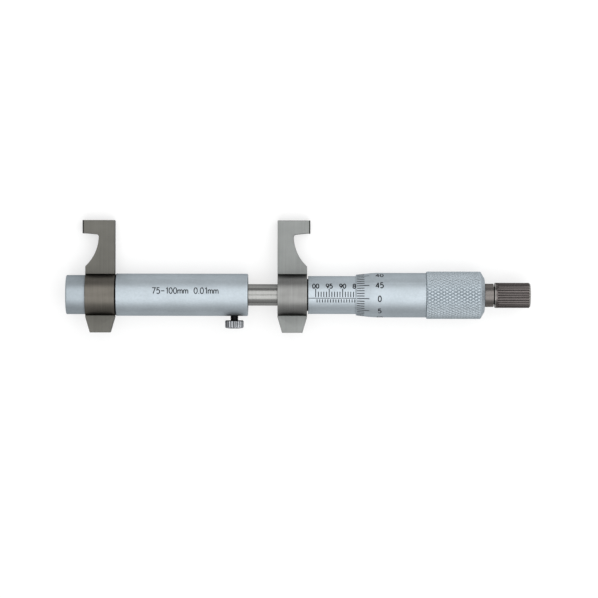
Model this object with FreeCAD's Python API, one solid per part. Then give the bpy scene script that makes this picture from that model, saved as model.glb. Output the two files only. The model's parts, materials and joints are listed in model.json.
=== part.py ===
import FreeCAD, Part
import math
import os

from FreeCAD import Vector

# Inside micrometer with two outward-looking jaws, in millimetres.
# It is drawn along its own axes and laid on its rest at the end of the file:
# the spindle axis is X, the fixed measuring face is X = 0, the ratchet lies to +X,
# the jaw arms point to +Y and the jaw plates face +Z.

# The measuring range
SETTING = 85.0                # size across the two measuring faces, as drawn
SMALLEST_SETTING = 75.0
LARGEST_SETTING = 100.0

# Jaws
JAW_WIDTH = 11.0              # hub, measured along the spindle axis
JAW_THICKNESS = 5.5
HUB_RADIUS = 8.25
HUB_CHAMFER = 0.2
NOSE_PROUD = 1.2              # how far the measuring face stands out past the hub
NOSE_HEIGHT = 4.9
NOSE_UNDERCUT = 0.35          # the nose's underside falls this much towards the web
ARM_REACH = 27.75             # spindle axis to the top of the arm
WEB_THICKNESS = 6.0
HOOK_ARC_RADIUS = 15.5
HOOK_ARC_HEIGHT = 22.0        # height of the arc's centre
HOOK_CORNER_RADIUS = 1.0
TAIL_REACH = 14.1
TAIL_INSET = 1.7
TAIL_STRAIGHT = 0.55          # straight side below the hub, before the tail narrows
TIP_THICKNESS = 1.5
TIP_CROWN_RADIUS = 8.0        # the measuring face is a part cylinder along the arm

# Guide rod
ROD_RADIUS = 4.0
ROD_SPARE = 1.3               # rod left in the bush at the largest setting
ROD_CHAMFER = 0.3
KEYWAY_WIDTH = 2.1
KEYWAY_DEPTH = 0.8
KEYWAY_SPARE = 1.0

# Carriage tube
TUBE_RADIUS = 7.88
TUBE_WALL = 1.28
TUBE_END_ROUND = 0.5
TUBE_CHAMFER = 0.3
TUBE_STEP = 1.0               # wall left between the bore and the spigot
JAW_STOP_GAP = 1.0            # tube to fixed jaw at the smallest setting
SPACER_THICKNESS = 0.5
SPACER_RADIUS = 7.6
SPIGOT_RADIUS = 6.0
SPIGOT_BORE_RADIUS = 4.6
CAP_RADIUS = 7.3
CAP_LENGTH = 7.2
CAP_CHAMFER = 0.5
CAP_WALL = 1.4
CAP_SPIGOT_LENGTH = 3.5
CAP_NUT_ROOM = 0.5            # cap's bore around the thrust nuts

# Bushes
GUIDE_CLEARANCE = 0.03
GUIDE_BUSH_LENGTH = 22.0
GUIDE_BUSH_RECESS = 0.5
KEY_LENGTH = 8.0
KEY_CLEARANCE = 0.05
KEY_FROM_BUSH_END = 1.5
THRUST_BUSH_LENGTH = 5.0
THRUST_FLANGE = 1.0           # held between the tube's spigot and the cap's
THRUST_PLAY = 0.05
THRUST_WASHER_THICKNESS = 0.45
THRUST_WASHER_RADIUS = 4.0
THRUST_NUT_LENGTH = 3.2
THRUST_NUT_RADIUS = 3.9
THRUST_NUT_FLATS = 6.8
THRUST_LOCK_NUT_LENGTH = 2.2
THRUST_NUT_GAP = 0.1

# Sleeve
NECK_SHOWN = 0.4              # dark neck seen between the fixed jaw and the sleeve
NECK_RADIUS = 6.0
SLEEVE_WALL = 1.08
SLEEVE_CHAMFER = 0.15
NECK_SEAT_DEPTH = 6.0
SCALE_START = 2.0             # the line of the largest setting, from the fixed face
SLEEVE_OVERLAP = 9.0          # sleeve left under the thimble at the smallest setting
THREAD_BORE_LENGTH = 13.0
THREAD_CLEARANCE = 0.03
SLEEVE_BORE_CLEARANCE = 0.15
TAPER_NUT_STEP = 0.6          # the nut's seat starts this far below the neck
TAPER_NUT_DROP = 0.3
SLEEVE_SLOT_WIDTH = 0.8
SLEEVE_SLOT_LENGTH = 9.0
SLEEVE_SLOTS = 3
ADJUSTING_NUT_RISE = 0.5
ADJUSTING_NUT_LENGTH = 5.0
ADJUSTING_NUT_GAP = 1.0
SPANNER_HOLE_RADIUS = 0.6
SPANNER_HOLE_FROM_END = 8.0

# Spindle
SHAFT_RADIUS = 2.5
SHAFT_CLEARANCE = 0.08
SHOULDER_HEIGHT = 0.5
THREAD_RADIUS = 3.25
THREAD_SPARE = 2.0
SPINDLE_END_PAST_NUTS = 1.2
RUN_CLEARANCE = 0.04
TAPER_SEAT_STEP = 0.25
TAPER_SEAT_DROP = 0.5
TAPER_SEAT_SHORT = 0.5        # the taper ends this far inside the thimble's end

# Thimble
THIMBLE_LENGTH = 47.9
THIMBLE_CLEARANCE = 0.12
THIMBLE_EDGE_WALL = 0.38
THIMBLE_BEVEL_RISE = 0.62
THIMBLE_BEVEL_LENGTH = 5.5
THIMBLE_BLEND_RISE = 0.1
THIMBLE_BLEND_LENGTH = 2.0
THIMBLE_END_WALL = 5.9
THIMBLE_END_GAP = 1.0         # thimble's end wall to the sleeve at the largest setting
KNURL_RISE = 0.53
KNURL_LENGTH = 20.5
KNURL_STEP = 0.3
THIMBLE_END_SLOPE = 1.3
THIMBLE_END_DROP = 2.53

# Ratchet
RATCHET_NECK_RADIUS = 4.34
RATCHET_NECK_LENGTH = 3.4
RATCHET_GROOVE = 0.4
RATCHET_BOSS_RADIUS = 3.3
RATCHET_BOSS_LENGTH = 1.3
RATCHET_STUD_RADIUS = 1.5
RATCHET_STUD_LENGTH = 7.0
RATCHET_STUD_SPARE = 0.5
RATCHET_TEETH = 12
RATCHET_TOOTH_HEIGHT = 0.35
RATCHET_TOOTH_GAP = 0.05
RATCHET_RING_LENGTH = 1.6
RATCHET_LUG_WIDTH = 1.2
RATCHET_LUG_HEIGHT = 0.45
RATCHET_CLEARANCE = 0.05
KNOB_RADIUS = 4.7
KNOB_LENGTH = 13.3
KNOB_BAND = 1.1               # smooth band before the ribs
KNOB_CHAMFER = 0.5
KNOB_RIBS = 28
KNOB_RIB_DEPTH = 0.3
KNOB_END_WALL = 1.8
KNOB_END_RECESS = 1.7
KNOB_RECESS_ROOM = 0.2         # around the screw's head
RATCHET_SCREW_RADIUS = 1.7
RATCHET_SCREW_THREAD_RADIUS = 1.3
RATCHET_SCREW_THREAD_LENGTH = 3.5
RATCHET_SCREW_HEAD_RADIUS = 2.7
RATCHET_SCREW_HEAD_LENGTH = 1.3
SCREW_SLOT_WIDTH = 0.6
SCREW_SLOT_DEPTH = 0.6
SPRING_MEAN_RADIUS = 2.45
SPRING_WIRE_RADIUS = 0.3
SPRING_TURNS = 4
SPRING_SECTIONS_PER_TURN = 16

# Lock screw
LOCK_FROM_TUBE_END = 5.1
LOCK_NECK_RADIUS = 1.4
LOCK_CLEARANCE = 0.03
LOCK_HEAD_RADIUS = 3.5
LOCK_HEAD_STANDOFF = 1.62     # tube to the head's inner side
LOCK_HEAD_THICKNESS = 3.1
LOCK_HEAD_CHAMFER = 0.35
LOCK_HEAD_DOME = 0.2
LOCK_RIBS = 22
LOCK_RIB_DEPTH = 0.25
LOCK_PAD_LENGTH = 1.6
LOCK_PAD_LIFT = 0.27          # pad to rod while the lock is open

# Radii that follow from the sizes above
ROD_BORE_RADIUS = SHAFT_RADIUS + SHAFT_CLEARANCE
JOURNAL_RADIUS = SHAFT_RADIUS - SHOULDER_HEIGHT
TAPER_SEAT_BIG_RADIUS = THREAD_RADIUS - TAPER_SEAT_STEP
TAPER_SEAT_SMALL_RADIUS = TAPER_SEAT_BIG_RADIUS - TAPER_SEAT_DROP
TUBE_BORE_RADIUS = TUBE_RADIUS - TUBE_WALL
CAP_BORE_RADIUS = THRUST_NUT_RADIUS + CAP_NUT_ROOM
SLEEVE_RADIUS = NECK_RADIUS + SLEEVE_WALL
TAPER_NUT_SEAT_RADIUS = NECK_RADIUS - TAPER_NUT_STEP
ADJUSTING_NUT_RADIUS = NECK_RADIUS + ADJUSTING_NUT_RISE
THIMBLE_BORE_RADIUS = SLEEVE_RADIUS + THIMBLE_CLEARANCE
THIMBLE_EDGE_RADIUS = THIMBLE_BORE_RADIUS + THIMBLE_EDGE_WALL
THIMBLE_BEVEL_RADIUS = THIMBLE_EDGE_RADIUS + THIMBLE_BEVEL_RISE
THIMBLE_RADIUS = THIMBLE_BEVEL_RADIUS + THIMBLE_BLEND_RISE
KNURL_RADIUS = THIMBLE_RADIUS + KNURL_RISE
THIMBLE_END_RADIUS = KNURL_RADIUS - THIMBLE_END_DROP
RATCHET_LUG_RADIUS = RATCHET_BOSS_RADIUS + RATCHET_LUG_HEIGHT
KNOB_RECESS_RADIUS = RATCHET_SCREW_HEAD_RADIUS + KNOB_RECESS_ROOM
LOCK_HEAD_BOTTOM = TUBE_RADIUS + LOCK_HEAD_STANDOFF

# Places along the spindle axis, worked out from the sizes above
TRAVEL_OUT = LARGEST_SETTING - SETTING
TRAVEL_IN = SETTING - SMALLEST_SETTING

FIXED_HUB_RIGHT = -NOSE_PROUD
FIXED_HUB_LEFT = FIXED_HUB_RIGHT - JAW_WIDTH
MOVABLE_HUB_LEFT = -SETTING + NOSE_PROUD
MOVABLE_HUB_RIGHT = MOVABLE_HUB_LEFT + JAW_WIDTH

TUBE_LEFT = MOVABLE_HUB_RIGHT + SPACER_THICKNESS
TUBE_RIGHT = FIXED_HUB_LEFT - JAW_STOP_GAP - TRAVEL_IN
CAP_LEFT = MOVABLE_HUB_LEFT - CAP_LENGTH
CAP_SPIGOT_END = MOVABLE_HUB_LEFT + CAP_SPIGOT_LENGTH
TUBE_SPIGOT_END = CAP_SPIGOT_END + THRUST_FLANGE

THRUST_BUSH_RIGHT = TUBE_SPIGOT_END + THRUST_BUSH_LENGTH
GUIDE_BUSH_RIGHT = TUBE_RIGHT - GUIDE_BUSH_RECESS
GUIDE_BUSH_LEFT = GUIDE_BUSH_RIGHT - GUIDE_BUSH_LENGTH
KEY_LEFT = GUIDE_BUSH_LEFT + KEY_FROM_BUSH_END
KEY_RIGHT = KEY_LEFT + KEY_LENGTH
ROD_LEFT = GUIDE_BUSH_LEFT - TRAVEL_OUT - ROD_SPARE

SLEEVE_LEFT = FIXED_HUB_RIGHT + NECK_SHOWN
THIMBLE_LEFT = SCALE_START + TRAVEL_OUT
THIMBLE_RIGHT = THIMBLE_LEFT + THIMBLE_LENGTH
THIMBLE_FLOOR = THIMBLE_RIGHT - THIMBLE_END_WALL
INNER_SLEEVE_LEFT = FIXED_HUB_RIGHT - NECK_SEAT_DEPTH
INNER_SLEEVE_RIGHT = THIMBLE_FLOOR - TRAVEL_OUT - THIMBLE_END_GAP
SCALE_SLEEVE_RIGHT = THIMBLE_LEFT + TRAVEL_IN + SLEEVE_OVERLAP
THREAD_BORE_LEFT = INNER_SLEEVE_RIGHT - THREAD_BORE_LENGTH
THREAD_LEFT = THREAD_BORE_LEFT - TRAVEL_IN - THREAD_SPARE
ROD_RIGHT = THREAD_LEFT - TRAVEL_OUT - THIMBLE_END_GAP
ADJUSTING_NUT_LEFT = SCALE_SLEEVE_RIGHT + ADJUSTING_NUT_GAP

WASHER_LEFT = THRUST_BUSH_RIGHT + THRUST_PLAY
SPINDLE_SHOULDER = WASHER_LEFT + THRUST_WASHER_THICKNESS
THRUST_NUT_RIGHT = CAP_SPIGOT_END - THRUST_PLAY
THRUST_NUT_LEFT = THRUST_NUT_RIGHT - THRUST_NUT_LENGTH
LOCK_NUT_RIGHT = THRUST_NUT_LEFT - THRUST_NUT_GAP
LOCK_NUT_LEFT = LOCK_NUT_RIGHT - THRUST_LOCK_NUT_LENGTH
SPINDLE_LEFT = LOCK_NUT_LEFT - SPINDLE_END_PAST_NUTS
SPINDLE_RIGHT = THIMBLE_RIGHT - TAPER_SEAT_SHORT

RATCHET_NECK_RIGHT = THIMBLE_RIGHT + RATCHET_NECK_LENGTH
KNOB_LEFT = RATCHET_NECK_RIGHT + RATCHET_GROOVE
KNOB_RIGHT = KNOB_LEFT + KNOB_LENGTH
RATCHET_FACE = RATCHET_NECK_RIGHT + RATCHET_BOSS_LENGTH
RATCHET_TOOTH_TIPS = RATCHET_FACE + RATCHET_TOOTH_HEIGHT
RING_TOOTH_TIPS = RATCHET_TOOTH_TIPS + RATCHET_TOOTH_GAP
RING_FACE = RING_TOOTH_TIPS + RATCHET_TOOTH_HEIGHT
RING_RIGHT = RING_FACE + RATCHET_RING_LENGTH
KNOB_RECESS_FLOOR = KNOB_RIGHT - KNOB_END_RECESS
KNOB_FLOOR = KNOB_RECESS_FLOOR - KNOB_END_WALL

LOCK_X = TUBE_RIGHT - LOCK_FROM_TUBE_END
LOCK_PAD_INNER = ROD_RADIUS + LOCK_PAD_LIFT
LOCK_PAD_OUTER = LOCK_PAD_INNER + LOCK_PAD_LENGTH
LOCK_HOLE_RADIUS = LOCK_NECK_RADIUS + LOCK_CLEARANCE

ORIGIN = Vector(0, 0, 0)
SPINDLE_AXIS = Vector(1, 0, 0)
LOCK_AXIS = Vector(0, -1, 0)
PLATE_NORMAL = Vector(0, 0, 1)


# Shared shapes

def turned(corners):
    """A solid turned about the spindle axis from its (x, radius) corners."""
    points = [Vector(x, radius, 0) for x, radius in corners]
    outline = Part.makePolygon(points + points[:1])
    return Part.Face(outline).revolve(ORIGIN, SPINDLE_AXIS, 360)


def rod_along(left, right, radius):
    return Part.makeCylinder(radius, right - left, Vector(left, 0, 0), SPINDLE_AXIS)


def tube_along(left, right, inner, outer):
    return rod_along(left, right, outer).cut(rod_along(left, right, inner))


def lock_cylinder(inner, outer, radius):
    """A cylinder on the lock screw's axis, between two distances from the spindle axis."""
    return Part.makeCylinder(radius, outer - inner, Vector(LOCK_X, -inner, 0), LOCK_AXIS)


def block(x_span, y_span, z_span):
    corner = Vector(x_span[0], y_span[0], z_span[0])
    size = [span[1] - span[0] for span in (x_span, y_span, z_span)]
    return Part.makeBox(size[0], size[1], size[2], corner)


def around_spindle(shape, count):
    """Copies of a shape, evenly spaced about the spindle axis."""
    copies = []
    for index in range(count):
        copy = shape.copy()
        copy.rotate(ORIGIN, SPINDLE_AXIS, 360.0 * index / count)
        copies.append(copy)
    return copies


def grooves(count, radius, depth, left, right):
    """V-grooves along X that leave pointed ribs on a cylinder."""
    half_width = math.pi * radius / count
    corners = [
        Vector(left, radius - depth, 0),
        Vector(left, radius + depth, -2 * half_width),
        Vector(left, radius + depth, 2 * half_width),
    ]
    outline = Part.makePolygon(corners + corners[:1])
    groove = Part.Face(outline).extrude(Vector(right - left, 0, 0))
    return around_spindle(groove, count)


def across_flats(left, right, width):
    """A hexagonal bar along the spindle axis."""
    corner = width / math.sqrt(3)
    points = []
    for index in range(6):
        angle = math.radians(60 * index)
        points.append(Vector(left, corner * math.cos(angle), corner * math.sin(angle)))
    outline = Part.makePolygon(points + points[:1])
    return Part.Face(outline).extrude(Vector(right - left, 0, 0))


# Jaws, drawn with the measuring face at x = 0 and looking to +X

def jaw_outline():
    outer = -NOSE_PROUD
    inner = outer - JAW_WIDTH
    seat = -TIP_THICKNESS
    web = inner + WEB_THICKNESS
    nose_bottom = ARM_REACH - NOSE_HEIGHT
    web_top = nose_bottom - NOSE_UNDERCUT
    corner = HOOK_CORNER_RADIUS
    centre_x = web + HOOK_ARC_RADIUS
    rise = math.sqrt(HOOK_ARC_RADIUS ** 2 - (centre_x - outer) ** 2)
    hook_foot = HOOK_ARC_HEIGHT - rise
    arc_top = web_top - corner
    arc_top_x = centre_x - math.sqrt(HOOK_ARC_RADIUS ** 2 - (arc_top - HOOK_ARC_HEIGHT) ** 2)
    arc_middle_y = (hook_foot + arc_top) / 2
    arc_middle_x = centre_x - math.sqrt(
        HOOK_ARC_RADIUS ** 2 - (arc_middle_y - HOOK_ARC_HEIGHT) ** 2
    )
    tail_shoulder = -math.sqrt(HUB_RADIUS ** 2 - (JAW_THICKNESS / 2) ** 2) - TAIL_STRAIGHT
    turn = corner * (1 - math.sqrt(0.5))

    start = Vector(seat, ARM_REACH, 0)
    top_inner = Vector(inner, ARM_REACH, 0)
    tail_inner = Vector(inner, tail_shoulder, 0)
    tail_inner_end = Vector(inner + TAIL_INSET, -TAIL_REACH, 0)
    tail_outer_end = Vector(outer - TAIL_INSET, -TAIL_REACH, 0)
    tail_outer = Vector(outer, tail_shoulder, 0)
    foot = Vector(outer, hook_foot, 0)
    arc_middle = Vector(arc_middle_x, arc_middle_y, 0)
    arc_end = Vector(arc_top_x, arc_top, 0)
    corner_middle = Vector(arc_top_x + turn, web_top - turn, 0)
    corner_end = Vector(arc_top_x + corner, web_top, 0)
    under_seat = Vector(seat, nose_bottom, 0)

    straight = [start, top_inner, tail_inner, tail_inner_end, tail_outer_end, tail_outer, foot]
    edges = []
    for first, second in zip(straight[:-1], straight[1:]):
        edges.append(Part.LineSegment(first, second).toShape())
    edges.append(Part.Arc(foot, arc_middle, arc_end).toShape())
    edges.append(Part.Arc(arc_end, corner_middle, corner_end).toShape())
    edges.append(Part.LineSegment(corner_end, under_seat).toShape())
    edges.append(Part.LineSegment(under_seat, start).toShape())
    return Part.Wire(edges)


def jaw_body():
    outer = -NOSE_PROUD
    inner = outer - JAW_WIDTH
    plate = Part.Face(jaw_outline()).extrude(Vector(0, 0, JAW_THICKNESS))
    plate.translate(Vector(0, 0, -JAW_THICKNESS / 2))
    hub = turned([
        (inner, 0),
        (inner, HUB_RADIUS - HUB_CHAMFER),
        (inner + HUB_CHAMFER, HUB_RADIUS),
        (outer - HUB_CHAMFER, HUB_RADIUS),
        (outer, HUB_RADIUS - HUB_CHAMFER),
        (outer, 0),
    ])
    return plate.fuse(hub).removeSplitter()


def jaw_tip():
    """The hard face: a block crowned by a cylinder that stands along the arm."""
    bottom = ARM_REACH - NOSE_HEIGHT
    half = JAW_THICKNESS / 2
    tip = block((-TIP_THICKNESS, 0), (bottom, ARM_REACH), (-half, half))
    crown = Part.makeCylinder(
        TIP_CROWN_RADIUS,
        NOSE_HEIGHT,
        Vector(-TIP_CROWN_RADIUS, bottom, 0),
        Vector(0, 1, 0),
    )
    return tip.common(crown)


def on_movable_side(shape):
    """The same shape looking to -X, with its measuring face at the setting."""
    mirrored = shape.mirror(ORIGIN, SPINDLE_AXIS)
    mirrored.translate(Vector(-SETTING, 0, 0))
    return mirrored


def fixed_jaw():
    rod_hole = rod_along(FIXED_HUB_LEFT, INNER_SLEEVE_LEFT, ROD_RADIUS)
    neck_seat = rod_along(INNER_SLEEVE_LEFT, FIXED_HUB_RIGHT, NECK_RADIUS)
    return jaw_body().cut(rod_hole).cut(neck_seat)


def fixed_jaw_tip():
    return jaw_tip()


def movable_jaw():
    hole = rod_along(MOVABLE_HUB_LEFT, MOVABLE_HUB_RIGHT, SPIGOT_RADIUS)
    return on_movable_side(jaw_body()).cut(hole)


def movable_jaw_tip():
    return on_movable_side(jaw_tip())


# Frame

def guide_rod():
    rod = turned([
        (ROD_LEFT, ROD_BORE_RADIUS),
        (ROD_LEFT, ROD_RADIUS - ROD_CHAMFER),
        (ROD_LEFT + ROD_CHAMFER, ROD_RADIUS),
        (ROD_RIGHT, ROD_RADIUS),
        (ROD_RIGHT, ROD_BORE_RADIUS),
    ])
    half = KEYWAY_WIDTH / 2
    keyway = block(
        (KEY_LEFT - TRAVEL_OUT - KEYWAY_SPARE, KEY_RIGHT + TRAVEL_IN + KEYWAY_SPARE),
        (-half, half),
        (-ROD_RADIUS - KEYWAY_DEPTH, -ROD_RADIUS + KEYWAY_DEPTH),
    )
    return rod.cut(keyway)


def inner_sleeve():
    bore = THREAD_RADIUS + SLEEVE_BORE_CLEARANCE
    thread_bore = THREAD_RADIUS + THREAD_CLEARANCE
    barrel = turned([
        (INNER_SLEEVE_LEFT, ROD_RADIUS),
        (INNER_SLEEVE_LEFT, NECK_RADIUS),
        (SCALE_SLEEVE_RIGHT, NECK_RADIUS),
        (SCALE_SLEEVE_RIGHT, TAPER_NUT_SEAT_RADIUS),
        (INNER_SLEEVE_RIGHT, TAPER_NUT_SEAT_RADIUS - TAPER_NUT_DROP),
        (INNER_SLEEVE_RIGHT, thread_bore),
        (THREAD_BORE_LEFT, thread_bore),
        (THREAD_BORE_LEFT, bore),
        (ROD_RIGHT, bore),
        (ROD_RIGHT, ROD_RADIUS),
    ])
    half = SLEEVE_SLOT_WIDTH / 2
    slot = block(
        (INNER_SLEEVE_RIGHT - SLEEVE_SLOT_LENGTH, INNER_SLEEVE_RIGHT),
        (0, NECK_RADIUS + half),
        (-half, half),
    )
    return barrel.cut(around_spindle(slot, SLEEVE_SLOTS))


def scale_sleeve():
    sleeve = turned([
        (SLEEVE_LEFT, NECK_RADIUS),
        (SLEEVE_LEFT, SLEEVE_RADIUS - SLEEVE_CHAMFER),
        (SLEEVE_LEFT + SLEEVE_CHAMFER, SLEEVE_RADIUS),
        (SCALE_SLEEVE_RIGHT, SLEEVE_RADIUS),
        (SCALE_SLEEVE_RIGHT, NECK_RADIUS),
    ])
    spanner_hole = Part.makeCylinder(
        SPANNER_HOLE_RADIUS,
        SLEEVE_RADIUS,
        Vector(SLEEVE_LEFT + SPANNER_HOLE_FROM_END, 0, 0),
        Vector(0, 0, -1),
    )
    return sleeve.cut(spanner_hole)


def taper_seat_radius(x):
    share = (x - SCALE_SLEEVE_RIGHT) / (INNER_SLEEVE_RIGHT - SCALE_SLEEVE_RIGHT)
    return TAPER_NUT_SEAT_RADIUS - TAPER_NUT_DROP * share


def adjusting_nut():
    right = ADJUSTING_NUT_LEFT + ADJUSTING_NUT_LENGTH
    nut = turned([
        (ADJUSTING_NUT_LEFT, taper_seat_radius(ADJUSTING_NUT_LEFT)),
        (ADJUSTING_NUT_LEFT, ADJUSTING_NUT_RADIUS),
        (right, ADJUSTING_NUT_RADIUS),
        (right, taper_seat_radius(right)),
    ])
    half = SLEEVE_SLOT_WIDTH / 2
    spanner_slot = block(
        (right - SLEEVE_SLOT_WIDTH, right),
        (-ADJUSTING_NUT_RADIUS, ADJUSTING_NUT_RADIUS),
        (-half, half),
    )
    return nut.cut(spanner_slot)


# Carriage

def spacer_ring():
    return tube_along(MOVABLE_HUB_RIGHT, TUBE_LEFT, SPIGOT_RADIUS, SPACER_RADIUS)


def body_tube():
    step = TUBE_LEFT + TUBE_STEP
    turn = TUBE_END_ROUND * (1 - math.sqrt(0.5))
    tube = turned([
        (TUBE_SPIGOT_END, SPIGOT_BORE_RADIUS),
        (TUBE_SPIGOT_END, SPIGOT_RADIUS),
        (TUBE_LEFT, SPIGOT_RADIUS),
        (TUBE_LEFT, TUBE_RADIUS - TUBE_CHAMFER),
        (TUBE_LEFT + TUBE_CHAMFER, TUBE_RADIUS),
        (TUBE_RIGHT - TUBE_END_ROUND, TUBE_RADIUS),
        (TUBE_RIGHT - turn, TUBE_RADIUS - turn),
        (TUBE_RIGHT, TUBE_RADIUS - TUBE_END_ROUND),
        (TUBE_RIGHT, TUBE_BORE_RADIUS),
        (step, TUBE_BORE_RADIUS),
        (step, SPIGOT_BORE_RADIUS),
    ])
    return tube.cut(lock_cylinder(0, TUBE_RADIUS, LOCK_HOLE_RADIUS))


def guide_bush():
    bore = ROD_RADIUS + GUIDE_CLEARANCE
    bush = tube_along(GUIDE_BUSH_LEFT, GUIDE_BUSH_RIGHT, bore, TUBE_BORE_RADIUS)
    bush = bush.cut(lock_cylinder(0, TUBE_BORE_RADIUS, LOCK_HOLE_RADIUS))
    return bush.cut(key_blank())


def key_blank():
    half = KEYWAY_WIDTH / 2 - KEY_CLEARANCE
    return block((KEY_LEFT, KEY_RIGHT), (-half, half), (-TUBE_RADIUS, -key_floor()))


def key_floor():
    return ROD_RADIUS - KEYWAY_DEPTH + KEY_CLEARANCE


def guide_key():
    return key_blank().common(rod_along(KEY_LEFT, KEY_RIGHT, TUBE_BORE_RADIUS))


def thrust_bush():
    bore = JOURNAL_RADIUS + RUN_CLEARANCE
    return turned([
        (CAP_SPIGOT_END, bore),
        (CAP_SPIGOT_END, SPIGOT_RADIUS),
        (TUBE_SPIGOT_END, SPIGOT_RADIUS),
        (TUBE_SPIGOT_END, SPIGOT_BORE_RADIUS),
        (THRUST_BUSH_RIGHT, SPIGOT_BORE_RADIUS),
        (THRUST_BUSH_RIGHT, bore),
    ])


def end_cap():
    return turned([
        (CAP_LEFT, 0),
        (CAP_LEFT, CAP_RADIUS - CAP_CHAMFER),
        (CAP_LEFT + CAP_CHAMFER, CAP_RADIUS),
        (MOVABLE_HUB_LEFT, CAP_RADIUS),
        (MOVABLE_HUB_LEFT, SPIGOT_RADIUS),
        (CAP_SPIGOT_END, SPIGOT_RADIUS),
        (CAP_SPIGOT_END, CAP_BORE_RADIUS),
        (CAP_LEFT + CAP_WALL, CAP_BORE_RADIUS),
        (CAP_LEFT + CAP_WALL, 0),
    ])


# What turns with the thimble

def spindle():
    shaft = turned([
        (SPINDLE_LEFT, 0),
        (SPINDLE_LEFT, JOURNAL_RADIUS),
        (SPINDLE_SHOULDER, JOURNAL_RADIUS),
        (SPINDLE_SHOULDER, SHAFT_RADIUS),
        (THREAD_LEFT, SHAFT_RADIUS),
        (THREAD_LEFT, THREAD_RADIUS),
        (THIMBLE_FLOOR, THREAD_RADIUS),
        (THIMBLE_FLOOR, TAPER_SEAT_BIG_RADIUS),
        (SPINDLE_RIGHT, TAPER_SEAT_SMALL_RADIUS),
        (SPINDLE_RIGHT, 0),
    ])
    stud_hole_end = THIMBLE_RIGHT - RATCHET_STUD_LENGTH - RATCHET_STUD_SPARE
    return shaft.cut(rod_along(stud_hole_end, SPINDLE_RIGHT, RATCHET_STUD_RADIUS))


def thimble():
    knurl_left = THIMBLE_RIGHT - THIMBLE_END_SLOPE - KNURL_LENGTH
    knurl_right = THIMBLE_RIGHT - THIMBLE_END_SLOPE
    bevel_end = THIMBLE_LEFT + THIMBLE_BEVEL_LENGTH
    return turned([
        (THIMBLE_LEFT, THIMBLE_BORE_RADIUS),
        (THIMBLE_LEFT, THIMBLE_EDGE_RADIUS),
        (bevel_end, THIMBLE_BEVEL_RADIUS),
        (bevel_end + THIMBLE_BLEND_LENGTH, THIMBLE_RADIUS),
        (knurl_left, THIMBLE_RADIUS),
        (knurl_left + KNURL_STEP, KNURL_RADIUS),
        (knurl_right - KNURL_STEP, KNURL_RADIUS),
        (knurl_right, KNURL_RADIUS - KNURL_STEP),
        (THIMBLE_RIGHT, THIMBLE_END_RADIUS),
        (THIMBLE_RIGHT, TAPER_SEAT_SMALL_RADIUS),
        (SPINDLE_RIGHT, TAPER_SEAT_SMALL_RADIUS),
        (THIMBLE_FLOOR, TAPER_SEAT_BIG_RADIUS),
        (THIMBLE_FLOOR, THIMBLE_BORE_RADIUS),
    ])


def thrust_washer():
    return tube_along(WASHER_LEFT, SPINDLE_SHOULDER, JOURNAL_RADIUS, THRUST_WASHER_RADIUS)


def hexagon_nut(left, right):
    blank = across_flats(left, right, THRUST_NUT_FLATS)
    trimmed = blank.common(rod_along(left, right, THRUST_NUT_RADIUS))
    return trimmed.cut(rod_along(left, right, JOURNAL_RADIUS))


def thrust_nut():
    return hexagon_nut(THRUST_NUT_LEFT, THRUST_NUT_RIGHT)


def thrust_lock_nut():
    return hexagon_nut(LOCK_NUT_LEFT, LOCK_NUT_RIGHT)


# Ratchet

def ratchet_tooth(face, tip, lean, outer):
    """One saw tooth that runs outwards, steep on one side."""
    pitch = 2 * math.pi / RATCHET_TEETH
    inner = RATCHET_SCREW_RADIUS + RATCHET_CLEARANCE
    ends = []
    for radius in (inner, outer):
        corners = []
        for angle, x in ((0, face), (lean * pitch, face), (lean * pitch, tip)):
            corners.append(Vector(x, radius * math.cos(angle), radius * math.sin(angle)))
        ends.append(Part.makePolygon(corners + corners[:1]))
    return Part.makeLoft(ends, True, True)


def ratchet_base():
    body = turned([
        (THIMBLE_RIGHT - RATCHET_STUD_LENGTH, 0),
        (THIMBLE_RIGHT - RATCHET_STUD_LENGTH, RATCHET_STUD_RADIUS),
        (THIMBLE_RIGHT, RATCHET_STUD_RADIUS),
        (THIMBLE_RIGHT, RATCHET_NECK_RADIUS),
        (RATCHET_NECK_RIGHT, RATCHET_NECK_RADIUS),
        (RATCHET_NECK_RIGHT, RATCHET_BOSS_RADIUS),
        (RATCHET_FACE, RATCHET_BOSS_RADIUS),
        (RATCHET_FACE, 0),
    ])
    tooth = ratchet_tooth(RATCHET_FACE, RATCHET_TOOTH_TIPS, 1, RATCHET_BOSS_RADIUS)
    body = body.fuse(around_spindle(tooth, RATCHET_TEETH))
    screw_hole_left = RATCHET_FACE - RATCHET_SCREW_THREAD_LENGTH
    return body.cut(rod_along(screw_hole_left, RATCHET_FACE, RATCHET_SCREW_THREAD_RADIUS))


def ratchet_lugs(left, right, radius, width):
    half = width / 2
    bar = block((left, right), (-radius, radius), (-half, half))
    return bar.common(rod_along(left, right, radius))


def ratchet_ring():
    inner = RATCHET_SCREW_RADIUS + RATCHET_CLEARANCE
    ring = rod_along(RING_FACE, RING_RIGHT, RATCHET_BOSS_RADIUS)
    lugs = ratchet_lugs(RING_FACE, RING_RIGHT, RATCHET_LUG_RADIUS, RATCHET_LUG_WIDTH)
    tooth = ratchet_tooth(RING_FACE, RING_TOOTH_TIPS, -1, RATCHET_BOSS_RADIUS)
    ring = ring.fuse([lugs] + around_spindle(tooth, RATCHET_TEETH))
    return ring.cut(rod_along(RING_TOOTH_TIPS, RING_RIGHT, inner))


def spring_section(turns, x):
    """The wire's outline, an octagon, after this many turns and at this place."""
    angle = 2 * math.pi * turns
    points = []
    for index in range(8):
        around = math.radians(45 * index)
        radius = SPRING_MEAN_RADIUS + SPRING_WIRE_RADIUS * math.sin(around)
        along = x + SPRING_WIRE_RADIUS * math.cos(around)
        points.append(Vector(along, radius * math.cos(angle), radius * math.sin(angle)))
    return Part.makePolygon(points + points[:1])


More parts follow.
